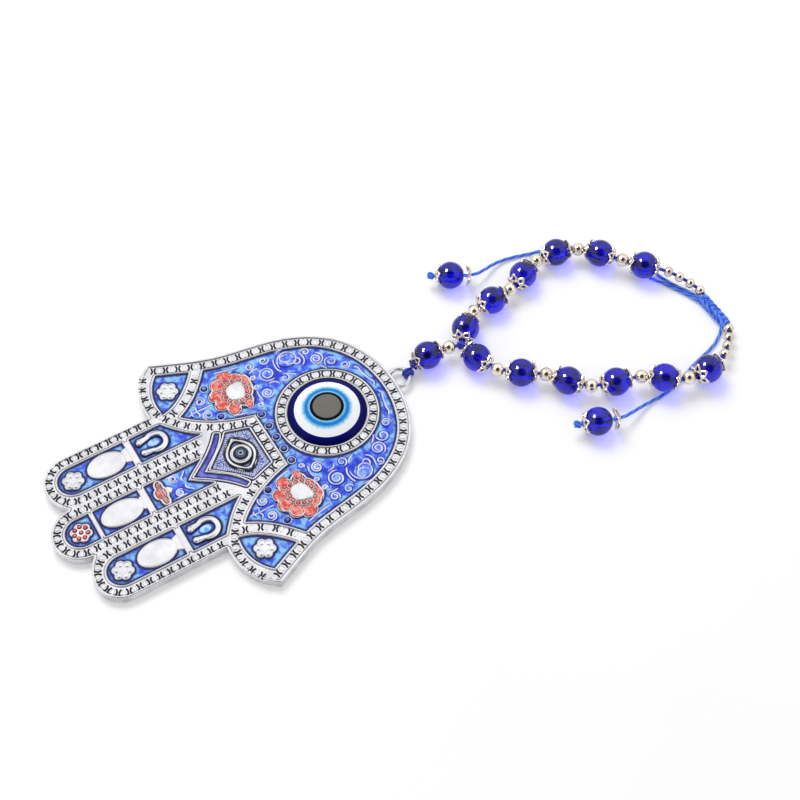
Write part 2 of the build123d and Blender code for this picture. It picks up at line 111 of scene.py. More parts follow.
def resampled(points: np.ndarray, step: float, closed: bool) -> np.ndarray:
    """A line walked again at even steps.

    Args:
        points: The line's points.
        step: The wanted distance between points.
        closed: Whether the line returns to its start.

    Returns:
        The new points, without a repeated last one where the line is closed.
    """
    line = np.vstack([points, points[:1]]) if closed else np.asarray(points, float)
    along = np.concatenate([[0.0], np.cumsum(np.linalg.norm(np.diff(line, axis=0), axis=1))])
    count = max(3, round(along[-1] / step))
    places = np.linspace(0.0, along[-1], count + 1)[: count if closed else count + 1]
    return np.stack([np.interp(places, along, line[:, axis]) for axis in range(line.shape[1])], axis=1)


def smoothed(points: np.ndarray, rounds: int) -> np.ndarray:
    """An open line with its corners cut, ends kept.

    Args:
        points: The line's points.
        rounds: How often the corners are cut.

    Returns:
        The smoother line.
    """
    line = np.asarray(points, float)
    for _ in range(rounds):
        step = CORNER_CUT * (line[1:] - line[:-1])
        cut = np.stack([line[:-1] + step, line[1:] - step], axis=1)
        line = np.vstack([line[:1], cut.reshape(-1, line.shape[1]), line[-1:]])
    return line


def steps_of(points: np.ndarray, closed: bool) -> np.ndarray:
    """The unit direction of a line at each of its points."""
    if closed:
        ahead = np.roll(points, -1, axis=0) - np.roll(points, 1, axis=0)
    else:
        ahead = np.gradient(points, axis=0)
    return ahead / np.maximum(np.linalg.norm(ahead, axis=1, keepdims=True), 1e-9)


def shifted(points: np.ndarray, distance: float, closed: bool = True) -> np.ndarray:
    """A flat line moved to its left, without the parts that come too near to it.

    Args:
        points: The line's points.
        distance: How far to move, negative for the right.
        closed: Whether the line returns to its start.

    Returns:
        The moved line.
    """
    ahead = steps_of(points, closed)
    moved = points + distance * np.stack([-ahead[:, 1], ahead[:, 0]], axis=1)
    gaps = np.linalg.norm(moved[:, None] - points[None], axis=2).min(axis=1)
    return moved[gaps > KEPT_GAP * abs(distance)]


def mirrored(points: np.ndarray) -> np.ndarray:
    """A line on the other side of the hand's middle line."""
    return points * np.array([-1.0, 1.0])


def turns_of(count: int) -> np.ndarray:
    """Even turns round a circle, from zero."""
    return np.arange(count) * tau / count


def ring(middle: tuple[float, float], radius: float, count: int = 48) -> np.ndarray:
    """A circle as a closed line."""
    turns = turns_of(count)
    return np.stack([middle[0] + radius * np.cos(turns), middle[1] + radius * np.sin(turns)], axis=1)


def half_turn(count: int) -> np.ndarray:
    """The lower half of a circle about the origin, from the right to the left."""
    turns = np.linspace(0.0, -pi, count)
    return np.stack([np.cos(turns), np.sin(turns)], axis=1)


def oval(
    middle: tuple[float, float], half: tuple[float, float], turn: float = 0.0, count: int = 40
) -> np.ndarray:
    """An ellipse as a closed line.

    Args:
        middle: Its centre.
        half: Its half width and half length.
        turn: Its turn in radians.
        count: How many points it has.

    Returns:
        The closed line.
    """
    flat = ring((0.0, 0.0), 1.0, count) * np.array(half)
    spun = flat @ np.array([[cos(turn), sin(turn)], [-sin(turn), cos(turn)]])
    return spun + np.array(middle)


def inside(points: np.ndarray, loops: list[np.ndarray]) -> np.ndarray:
    """Which points lie inside an area with holes.

    Args:
        points: The points to test.
        loops: The area's closed lines.

    Returns:
        One truth value for each point.
    """
    crossings = np.zeros(len(points), int)
    for loop in loops:
        start, end = loop, np.roll(loop, -1, axis=0)
        for (x0, y0), (x1, y1) in zip(start, end):
            spans = (y0 > points[:, 1]) != (y1 > points[:, 1])
            if spans.any():
                across = x0 + (points[spans, 1] - y0) * (x1 - x0) / (y1 - y0)
                crossings[np.flatnonzero(spans)[points[spans, 0] < across]] += 1
    return crossings % 2 == 1


# Meshes


def linked(name: str, data: bpy.types.ID) -> bpy.types.Object:
    """A new object in the scene that shows some data."""
    made = bpy.data.objects.new(name, data)
    bpy.context.collection.objects.link(made)
    return made


def bare_mesh(name: str, points: list, edges: list, faces: list) -> bpy.types.Mesh:
    """A mesh of given points, edges and faces."""
    mesh = bpy.data.meshes.new(name)
    mesh.from_pydata(points, edges, faces)
    return mesh


def moved_to(points: np.ndarray, place: Matrix) -> np.ndarray:
    """Points taken from a place's own axes into the hand's."""
    matrix = np.array(place)
    return points @ matrix[:3, :3].T + matrix[:3, 3]


@dataclass
class Shape:
    """Points and faces of a piece in the making, in millimetres from the middle of the glass eye."""

    points: list[np.ndarray] = field(default_factory=list)
    faces: list[tuple[int, ...]] = field(default_factory=list)
    uvs: list[tuple[float, float]] = field(default_factory=list)
    edges: list[np.ndarray] = field(default_factory=list)

    def join(self, points: np.ndarray, faces: list[tuple[int, ...]], edge: np.ndarray | None = None) -> None:
        """Adds points and faces whose numbers start at zero.

        Args:
            points: The points.
            faces: The faces.
            edge: How far each point lies from the form's own outline, or None for nothing.
        """
        base = sum(len(part) for part in self.points)
        self.points.append(np.asarray(points, float))
        self.edges.append(np.zeros(len(points)) if edge is None else edge)
        self.faces.extend(tuple(base + corner for corner in face) for face in faces)

    def piece(self, name: str, material: bpy.types.Material, crease: float | None = None) -> bpy.types.Object:
        """Makes the object, shaded as one surface.

        Args:
            name: The piece's name.
            material: Its finish.
            crease: The angle in degrees past which an edge stays sharp, or None for no sharp edge.

        Returns:
            The object, in metres in the row frame.
        """
        points = (np.vstack(self.points) + FROM_EYE) * MM
        mesh = bare_mesh(name, points.tolist(), [], self.faces)
        if self.uvs:
            layer = mesh.uv_layers.new(name="UVMap")
            layer.data.foreach_set("uv", np.array(self.uvs, float).ravel())
        if any(part.any() for part in self.edges):
            edge = mesh.attributes.new("edge", "FLOAT", "POINT")
            edge.data.foreach_set("value", np.concatenate(self.edges))
        mesh.validate()
        mesh.shade_smooth()
        if crease is not None:
            mesh.set_sharp_from_angle(angle=radians(crease))
        mesh.materials.append(material)
        return linked(name, mesh)


def wire(shape: Shape, line: np.ndarray, base: float, half: float, rise: float, closed: bool) -> None:
    """Adds a rounded ridge that follows a flat line.

    Args:
        shape: What it is added to.
        line: The line's points.
        base: The height of the surface it stands on.
        half: Half its width.
        rise: Its height over the surface.
        closed: Whether the line returns to its start.
    """
    if len(line) < 3:
        return
    ahead = steps_of(line, closed)
    side = np.stack([-ahead[:, 1], ahead[:, 0]], axis=1)
    taper = np.ones(len(line))
    if not closed:
        from_start = np.arange(len(line))
        taper = np.clip(np.minimum(from_start, from_start[::-1]) / 2 + RIDGE_END, 0, 1)
    rows = []
    for across, up in RIDGE:
        flat = line + side * (across * half * taper)[:, None]
        rows.append(np.column_stack([flat, base + up * rise * taper]))
    points = np.stack(rows, axis=1).reshape(-1, 3)
    shape.join(points, sweep_faces(len(line), len(RIDGE), closed))


def sweep_faces(rows: int, sides: int, closed: bool) -> list[tuple[int, ...]]:
    """Faces of a tube whose rings have their points in order.

    Args:
        rows: How many rings it has.
        sides: How many points a ring has.
        closed: Whether the last ring meets the first.

    Returns:
        The faces, with end faces where the tube is open.
    """
    faces = []
    for row in range(rows if closed else rows - 1):
        after = (row + 1) % rows
        for side in range(sides):
            beside, here, next_row = (side + 1) % sides, row * sides, after * sides
            faces.append((here + side, here + beside, next_row + beside, next_row + side))
    if not closed:
        faces.append(tuple(range(sides))[::-1])
        faces.append(tuple((rows - 1) * sides + side for side in range(sides)))
    return faces


def crowned(shape: Shape, outline: np.ndarray, base: float, rise: float, rings: int = 4) -> None:
    """Adds a low cushion over a flat outline that sees its own middle.

    Args:
        shape: What it is added to.
        outline: The closed outline, anticlockwise.
        base: The height of the surface it stands on.
        rise: The height of its crown.
        rings: How many steps the crown has.
    """
    middle = outline.mean(axis=0)
    reach = float(np.linalg.norm(outline - middle, axis=1).mean())
    rows = [np.column_stack([outline, np.full(len(outline), base - FOOT_DEPTH)])]
    edges = [np.zeros(len(outline))]
    for step in range(rings + 1):
        angle = step / (rings + 1) * pi / 2
        flat = middle + (outline - middle) * cos(angle)
        rows.append(np.column_stack([flat, np.full(len(outline), base + rise * sin(angle))]))
        edges.append(np.full(len(outline), reach * (1 - cos(angle))))
    points = np.vstack([*rows, [[*middle, base + rise]]])
    count = len(outline)
    faces: list[tuple[int, ...]] = [tuple(range(count))[::-1]]
    for row in range(len(rows) - 1):
        for side in range(count):
            beside = (side + 1) % count
            low, high = row * count, (row + 1) * count
            faces.append((low + side, low + beside, high + beside, high + side))
    top = (len(rows) - 1) * count
    faces += [(top + side, top + (side + 1) % count, len(points) - 1) for side in range(count)]
    shape.join(points, faces, np.concatenate([*edges, [reach]]))


def turned(profile: np.ndarray, sides: int) -> tuple[np.ndarray, list]:
    """A closed profile turned about the upright axis.

    Args:
        profile: Distance from the axis and height along it, a closed line.
        sides: How many steps the turn has.

    Returns:
        The points and the faces.
    """
    out, up = profile.T
    rows = [np.stack([out * cos(turn), out * sin(turn), up], axis=1) for turn in turns_of(sides)]
    return np.vstack(rows), sweep_faces(sides, len(profile), True)


def lathed(profile: list[tuple[float, float]], sides: int) -> tuple[np.ndarray, list]:
    """A solid turned about the upright axis, from a profile that starts and ends on it.

    Args:
        profile: Distance from the axis and height, from the lowest point round to the highest.
        sides: How many steps the turn has.

    Returns:
        The points and the faces.
    """
    around = profile[1:-1]
    rows = [np.column_stack([ring((0.0, 0.0), out, sides), np.full(sides, up)]) for out, up in around]
    points = np.vstack([*rows, [[0.0, 0.0, profile[0][1]], [0.0, 0.0, profile[-1][1]]]])
    low, top = len(points) - 2, (len(rows) - 1) * sides
    faces: list[tuple[int, ...]] = []
    for side in range(sides):
        beside = (side + 1) % sides
        faces += [(beside, side, low), (top + side, top + beside, low + 1)]
        for row in range(len(rows) - 1):
            here = row * sides
            faces.append((here + side, here + beside, here + sides + beside, here + sides + side))
    return points, faces


@dataclass(frozen=True)
class Strand:
    """The section of a cord: its radius, its twisted strands, and how long one turn of them is."""

    radius: float
    lobes: int = 3
    depth: float = 0.10
    turn_length: float = 3.2
    sides: int = 14

    def add(
        self, shape: Shape, line: np.ndarray, closed: bool = False, radius: float | None = None
    ) -> None:
        """Adds a twisted cord along a line, with its own UV.

        Args:
            shape: What it is added to.
            line: The points it follows.
            closed: Whether the line returns to its start.
            radius: Its radius, where it isn't the strand's own.
        """
        radius = radius or self.radius
        ahead = steps_of(line, closed)
        up = np.array([0.0, 0.0, 1.0]) if abs(ahead[0][2]) < 0.9 else np.array([1.0, 0.0, 0.0])
        side = np.cross(up, ahead[0])
        sides = []
        for direction in ahead:
            side = side - direction * side.dot(direction)
            side = side / np.linalg.norm(side)
            sides.append(side)
        across = np.array(sides)
        over = np.cross(ahead, across)
        gone = np.concatenate([[0.0], np.cumsum(np.linalg.norm(np.diff(line, axis=0), axis=1))])
        after = np.append(gone[1:], gone[-1] + gone[1])
        turns = turns_of(self.sides)
        twist = gone / self.turn_length * tau
        if closed:
            twist = gone / after[-1] * tau * max(1, round(gone[-1] / self.turn_length))
        swell = 1 - self.depth * (0.5 - 0.5 * np.cos(self.lobes * turns[None] + twist[:, None]))
        reach = radius * swell
        points = (
            line[:, None]
            + across[:, None] * (reach * np.cos(turns)[None])[..., None]
            + over[:, None] * (reach * np.sin(turns)[None])[..., None]
        ).reshape(-1, 3)
        shape.join(points, sweep_faces(len(line), self.sides, closed))
        for low, high in list(zip(gone, after))[: None if closed else -1]:
            for step in range(self.sides):
                u0, u1 = step / self.sides, (step + 1) / self.sides
                shape.uvs.extend([(u0, low), (u1, low), (u1, high), (u0, high)])
        if not closed:
            shape.uvs.extend([(0.5, 0.0)] * (2 * self.sides))


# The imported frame


def in_hand(points: np.ndarray) -> np.ndarray:
    """Row-frame metres as millimetres from the middle of the glass eye."""
    return np.asarray(points) / MM - FROM_EYE


@dataclass
class NodeMesh:
    """A node's merged points and triangles, in millimetres from the middle of the glass eye."""

    points: np.ndarray
    triangles: np.ndarray

    @classmethod
    def of(cls, name: str) -> "NodeMesh":
        """Reads a node of the frame."""
        mesh = frame["nodes"][name].data
        raw = np.empty(3 * len(mesh.vertices))
        mesh.vertices.foreach_get("co", raw)
        raw = in_hand(raw.reshape(-1, 3))
        mesh.calc_loop_triangles()
        corners = np.empty(3 * len(mesh.loop_triangles), int)
        mesh.loop_triangles.foreach_get("vertices", corners)
        _, first, number = np.unique(np.round(raw, 3), axis=0, return_index=True, return_inverse=True)
        return cls(raw[first], number.ravel()[corners].reshape(-1, 3))

    def loops(self, height: float) -> list[np.ndarray]:
        """The closed lines round the node's flat top, metal or enamel on their left.

        Args:
            height: The height of the top.

        Returns:
            One line for each edge of the top.
        """
        flat = np.abs(self.points[:, 2] - height) < LEVEL
        top = self.triangles[flat[self.triangles].all(axis=1)]
        edges = {}
        for triangle in top.tolist():
            for start, end in zip(triangle, triangle[1:] + triangle[:1]):
                if (end, start) in edges:
                    del edges[(end, start)]
                else:
                    edges[(start, end)] = True
        follow = dict(edges.keys())
        lines = []
        while follow:
            start, here = follow.popitem()
            line = [start]
            while here != start and here in follow:
                line.append(here)
                here = follow.pop(here)
            if len(line) > 3:
                lines.append(self.points[line][:, :2])
        return lines

    def centres(self) -> list[np.ndarray]:
        """The middles of the node's separate solids."""
        group = np.arange(len(self.points))
        while True:
            least = group[self.triangles].min(axis=1)
            before = group.copy()
            for corner in range(3):
                np.minimum.at(group, self.triangles[:, corner], least)
            if (group == before).all():
                break
        solids = [self.points[group == one] for one in np.unique(group[self.triangles])]
        return [(solid.min(axis=0) + solid.max(axis=0)) / 2 for solid in solids]


def place_at(middle: Vector | np.ndarray, axis: Vector | np.ndarray, flip: bool = False) -> Matrix:
    """A place whose own height runs along an axis.

    Args:
        middle: The place.
        axis: The axis.
        flip: Whether the height runs the other way.

    Returns:
        The place's matrix.
    """
    along = Vector(axis).normalized() * (-1 if flip else 1)
    return Matrix.Translation(Vector(middle)) @ along.to_track_quat("Z", "Y").to_matrix().to_4x4()


def finish_piece(piece: bpy.types.Object, body: Body | str, slot: str, *nodes: str) -> bpy.types.Object:
    """Hands a piece to the frame.

    Args:
        piece: The piece, in place.
        body: The body it rides on, one of the large two or a bead's or cap's by name.
        slot: The name of a record's material slot; not used.
        nodes: The nodes it stands for.

    Returns:
        The same piece.
    """
    body = body.value if isinstance(body, Body) else body
    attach(piece, body)
    if nodes:
        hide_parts(*nodes)
    log.info("%s: %d faces on %s", piece.name, len(piece.data.polygons), body)
    return piece


# Trees of nodes


class Wiring:
    """Adds and joins the nodes of one tree."""

    def __init__(self, tree: bpy.types.NodeTree) -> None:
        """Takes the tree to work on."""
        self.tree = tree

    def add(self, kind: str, inputs: dict | None = None, **settings: object) -> bpy.types.Node:
        """Adds a node.

        Args:
            kind: Its type.
            inputs: Values or sockets for its inputs, by name or number.
            settings: Its own properties.

        Returns:
            The node.
        """
        node = self.tree.nodes.new(kind)
        for name, value in settings.items():
            setattr(node, name, value)
        for name, value in (inputs or {}).items():
            if isinstance(value, bpy.types.NodeSocket):
                self.tree.links.new(value, node.inputs[name])
            else:
                node.inputs[name].default_value = value
        return node

    def sum(self, kind: str, *values: object, clamp: bool = False) -> bpy.types.NodeSocket:
        """A value worked out from one, two or three others."""
        return self.add("ShaderNodeMath", dict(enumerate(values)), operation=kind, use_clamp=clamp).outputs[0]

    def swing(self, value: bpy.types.NodeSocket, width: float) -> bpy.types.NodeSocket:
        """A noise value made to swing about zero."""
        return self.sum("MULTIPLY", self.sum("SUBTRACT", value, 0.5), width)

    def between(
        self, value: bpy.types.NodeSocket, low: float, high: float, **ends: float
    ) -> bpy.types.NodeSocket:
        """A value's share between two bounds, or the value between two ends that the share stands for."""
        inputs = {"Value": value, "From Min": low, "From Max": high}
        inputs.update({name.replace("_", " ").title(): end for name, end in ends.items()})
        return self.add("ShaderNodeMapRange", inputs).outputs[0]


class Shader(Wiring):
    """A material with its nodes."""

    def __init__(self, name: str) -> None:
        """Starts a material with one plain surface."""
        self.material = bpy.data.materials.new(name)
        self.material.use_nodes = True
        super().__init__(self.material.node_tree)
        self.surface = self.tree.nodes["Principled BSDF"]
        self.places = self.add("ShaderNodeTexCoord").outputs["Object"]

    def set(self, **values: object) -> None:
        """Sets inputs of the surface, with underscores for spaces in their names."""
        for name, value in values.items():
            socket = self.surface.inputs[name.replace("_", " ").title().replace("Ior", "IOR")]
            if isinstance(value, bpy.types.NodeSocket):
                self.tree.links.new(value, socket)
            else:
                socket.default_value = value

    def noise(
        self, scale: float, detail: float = 3.0, vector: bpy.types.NodeSocket | None = None
    ) -> bpy.types.NodeSocket:
        """A noise value over the piece's own places, its scale in swells to the metre."""
        inputs = {"Vector": vector or self.places, "Scale": scale, "Detail": detail, "Roughness": 0.55}
        return self.add("ShaderNodeTexNoise", inputs).outputs[0]

    def ramp(self, share: bpy.types.NodeSocket, stops: list[tuple[float, tuple]]) -> bpy.types.NodeSocket:
        """A colour read from stops along a share."""
        node = self.add("ShaderNodeValToRGB", {"Fac": share})
        while len(node.color_ramp.elements) < len(stops):
            node.color_ramp.elements.new(0.5)
        for element, (place, tint) in zip(node.color_ramp.elements, stops):
            element.position = place
            element.color = tint
        return node.outputs["Color"]

    def mix(self, share: object, first: object, second: object) -> bpy.types.NodeSocket:
        """A colour between two others."""
        node = self.add("ShaderNodeMix", {0: share, 6: first, 7: second}, data_type="RGBA")
        return node.outputs[2]

    def bump(self, height: bpy.types.NodeSocket, strength: float, depth: float) -> None:
        """Gives the surface a fine relief, its depth in metres."""
        node = self.add("ShaderNodeBump", {"Height": height, "Strength": strength, "Distance": depth})
        self.tree.links.new(node.outputs[0], self.surface.inputs["Normal"])


# Finishes


@dataclass(frozen=True)
class Silver:
    """Plated casting or turned metal, with a fine grain and a faint uneven tone."""

    name: str
    bright: str = "e8e8ec"
    dull: str = "cecfd4"
    roughness: float = 0.26
    grain: float = 900.0
    depth: float = 0.00002
    metallic: float = 1.0

    def material(self) -> bpy.types.Material:
        """Builds the finish."""
        shader = Shader(self.name)
        cloud = shader.noise(self.grain / 3)
        grain = shader.noise(self.grain * 2, detail=4.0)
        tone = shader.ramp(cloud, [(0.35, colour(self.dull)), (0.6, colour(self.bright))])
        smoothest, roughest = self.roughness * 0.8, self.roughness * 1.3
        rough = shader.between(grain, 0.3, 0.7, to_min=smoothest, to_max=roughest)
        shader.set(base_color=tone, metallic=self.metallic, roughness=rough)
        shader.bump(grain, strength=0.35, depth=self.depth)
        return shader.material


@dataclass(frozen=True)
class Enamel:
    """Fired colour in a cell, with a dark line along the metal and a painted highlight near it."""

    name: str
    line: str
    deep: str
    fill: str
    light: str
    line_width: float = 0.6
    patch: float = 420.0
    stippled: bool = False
    roughness: float = 0.3
    # How much lighter the colour is painted near the metal as a painted highlight, and how far in it reaches
    # in millimetres
    glow: float = 0.13
    highlight_reach: float = 3.0
    speck: str = "c9cfee"

    def material(self) -> bpy.types.Material:
        """Builds the finish."""
        shader = Shader(self.name)
        edge = shader.add("ShaderNodeAttribute", attribute_name="edge").outputs["Fac"]
        cloud = shader.noise(self.patch, detail=2.5)
        # Painted highlight: the colour is pushed lighter near the metal and fades further in
        highlight_share = shader.sum("SUBTRACT", 1.0, shader.sum("DIVIDE", edge, self.highlight_reach))
        share = shader.sum("ADD", cloud, shader.sum("MULTIPLY", highlight_share, self.glow))
        stops = [(0.38, colour(self.deep)), (0.52, colour(self.fill)), (0.66, colour(self.light))]
        body = shader.ramp(share, stops)
        if self.stippled:
            fine = shader.noise(2200.0, detail=1.0)
            specks = shader.ramp(fine, [(0.47, colour("000000")), (0.6, colour("ffffff"))])
            body = shader.mix(specks, body, colour(self.speck))
        reach = shader.sum("ADD", edge, shader.swing(shader.noise(700.0), 0.35))
        rim = shader.between(reach, self.line_width * 0.55, self.line_width * 1.25)
        shader.set(base_color=shader.mix(rim, colour(self.line), body))
        shader.set(roughness=self.roughness, coat_weight=0.12, coat_roughness=0.08, specular_ior_level=0.3)
        scale, depth = (3600.0, 0.00012) if self.stippled else (1500.0, 0.00004)
        shader.bump(shader.noise(scale, detail=2.0), strength=0.4, depth=depth)
        return shader.material


@dataclass(frozen=True)
class EyeGlass:
    """Fused glass with rings about the eye's middle, feathered where two colours met."""

    name: str
    stops: tuple[tuple[float, str], ...]
    feather: float
    rays: float
    widest: float = 12.0

    def material(self) -> bpy.types.Material:
        """Builds the finish."""
        shader = Shader(self.name)
        vector = "ShaderNodeVectorMath"
        middle, to_mm = (0.0, EYE_Y * MM, 0.0), (1 / MM, 1 / MM, 0.0)
        moved = shader.add(vector, {0: shader.places, 1: middle}, operation="SUBTRACT").outputs[0]
        flat = shader.add(vector, {0: moved, 1: to_mm}, operation="MULTIPLY").outputs[0]
        radius = shader.add(vector, {0: flat}, operation="LENGTH").outputs["Value"]
        unit = shader.add(vector, {0: flat}, operation="NORMALIZE").outputs[0]
        fine = shader.noise(self.rays, detail=5.0, vector=unit)
        reach = shader.sum("ADD", radius, shader.swing(fine, self.feather))
        share = shader.sum("DIVIDE", reach, self.widest)
        tint = shader.ramp(share, [(place / self.widest, colour(code)) for place, code in self.stops])
        shader.set(base_color=tint, roughness=0.06, specular_ior_level=0.05)
        shader.bump(shader.noise(220.0, detail=1.0), strength=0.15, depth=0.00005)
        return shader.material


@dataclass(frozen=True)
class BeadGlass:
    """Clear cobalt glass with faint clouds, that tints the light in its shadow."""

    name: str
    deep: str = "050238"
    light: str = "200ede"
    glow: str = "7a68ff"

    def material(self) -> bpy.types.Material:
        """Builds the finish."""
        shader = Shader(self.name)
        clouds = shader.noise(260.0, detail=2.0)
        tint = shader.ramp(clouds, [(0.38, colour(self.deep)), (0.6, colour(self.light))])
        shader.set(base_color=tint, roughness=0.02, ior=1.5, transmission_weight=1.0, specular_ior_level=0.2)
        shader.bump(shader.noise(160.0, detail=1.0), strength=0.05, depth=0.00005)
        shadow = shader.add("ShaderNodeLightPath").outputs["Is Shadow Ray"]
        clear = shader.add("ShaderNodeBsdfTransparent", {"Color": colour(self.glow)}).outputs[0]
        glass = shader.surface.outputs[0]
        both = shader.add("ShaderNodeMixShader", {0: shadow, 1: glass, 2: clear}).outputs[0]
        shader.tree.links.new(both, shader.tree.nodes["Material Output"].inputs["Surface"])
        return shader.material


@dataclass(frozen=True)
class WaxedCord:
    """Twisted waxed thread, with painted shade between its strands and painted light on their crowns."""

    name: str
    deep: str
    bright: str
    lobes: int = 3
    turn_length: float = 3.2
    fibres: int = 5

    def material(self) -> bpy.types.Material:
        """Builds the finish."""
        shader = Shader(self.name)
        uv = shader.add("ShaderNodeUVMap", uv_map="UVMap").outputs[0]
        parts = shader.add("ShaderNodeSeparateXYZ", {0: uv})
        around = shader.sum("MULTIPLY", parts.outputs[0], float(self.lobes))
        along = shader.sum("DIVIDE", parts.outputs[1], self.turn_length)
        turn = shader.sum("MULTIPLY", shader.sum("ADD", around, along), tau)
        # Painted shade and light: 1 on each strand's crown, 0 in the crease between strands
        lit_crown = shader.sum("MULTIPLY_ADD", shader.sum("COSINE", turn), 0.5, 0.5)
        fibre = shader.sum("SINE", shader.sum("MULTIPLY", turn, float(self.fibres)))
        tone = shader.sum("ADD", lit_crown, shader.swing(shader.noise(2500.0), 0.9))
        # The deep colour is the painted shade of the creases, the bright one the painted light of the crowns
        tint = shader.ramp(tone, [(0.1, colour(self.deep)), (0.75, colour(self.bright))])
        shader.set(base_color=tint, roughness=0.42, sheen_weight=0.25, sheen_roughness=0.4)
        shader.bump(shader.sum("MULTIPLY_ADD", fibre, 0.25, 0.5), strength=0.5, depth=0.00004)
        return shader.material


@dataclass(frozen=True)
class StudioFloor:
    """White floor that keeps the object's shadow."""

    name: str = "studio_floor"
    lift: float = 0.14

    def material(self) -> bpy.types.Material:
        """Builds the finish."""
        shader = Shader(self.name)
        cloud = shader.ramp(shader.noise(scale=6.0), [(0.3, colour("f3f3f3")), (0.7, colour("f8f8f8"))])
        shader.set(base_color=cloud, roughness=0.9, specular_ior_level=0.0)
        rays = shader.add("ShaderNodeLightPath")
        seen = shader.sum("ADD", rays.outputs["Is Camera Ray"], rays.outputs["Is Glossy Ray"])
        seen = shader.sum("ADD", seen, rays.outputs["Is Transmission Ray"], clamp=True)
        shader.set(emission_color=colour("ffffff"))
        shader.set(emission_strength=shader.sum("MULTIPLY", seen, self.lift))
        return shader.material


class Palette:
    """Every finish of the object, each made once and kept under its short name."""

    def __init__(self) -> None:
        """Makes the finishes."""
        plain = {"roughness": 0.6, "metallic": 0.0}
        silvers = {
            "cast": Silver("cast_silver_plate"),
            "polished": Silver("polished_relief", "eaeaed", "dadade", 0.21, grain=700.0, depth=0.00001),
            "findings": Silver("turned_silver", "f1e8d6", "d6ccb8", 0.07, grain=500.0, depth=0.000008),
            # Oxide and painted shade: near-black matte for the crescents in the bands' gaps and the small
            # eye's dark rings
            "oxide": Silver("oxidised_recess", "1d1c21", "0b0b0e", **plain),
            "groove": Silver("shaded_groove", "6c6c74", "3c3c44", **plain),
            "line_silver": Silver("scroll_silver", "eef1ff", "c3cdf8", 0.35, depth=0.00001, metallic=0.2),
        }
        enamels = {
            "blue": Enamel("blue_enamel", "0a0e5c", "1c34d0", "4468ee", "8ac6fb", 0.78),
            "violet": Enamel(
                "violet_field", "0c0d34", "262b7c", "4047a0", "7a80cc", 0.55, 900.0,
                stippled=True, roughness=0.4,
            ),
            "chevron": Enamel("chevron_enamel", "10103f", "3a36b4", "5452cc", "7476e0", 0.5),
            "red": Enamel("red_enamel", "8f1f1c", "c23a32", "dc5a50", "f29a90", 0.42, 900.0),
            "bed": Enamel("scroll_bed", "1a2cae", "3450e0", "4c6cf0", "8fb6fa", 0.45, 700.0),
            "navy_spot": Enamel("navy_spot", "090b48", "1a2490", "3450d4", "6c90f4", 0.5),
            # Blue drop inside each horseshoe; its pale azure is partly a painted highlight
            "azure_spot": Enamel("azure_spot", "2f50d8", "4a86ee", "7cc0f8", "b5def9", 0.45, 900.0),
            "slate": Enamel("slate_spot", "23284a", "5f6fb4", "7f93cc", "a9bfe4", 0.2, 900.0),
        }
        others = {
            "bead": BeadGlass("cobalt_bead_glass"),
            "navy_cord": WaxedCord("navy_waxed_cord", "0b0e5c", "2a3ce0"),
            "royal_cord": WaxedCord("royal_waxed_cord", "1c48cc", "5a94ff"),
        }
        for name, finish in {**silvers, **enamels, **others}.items():
            setattr(self, name, finish.material())


# Repeats made by nodes


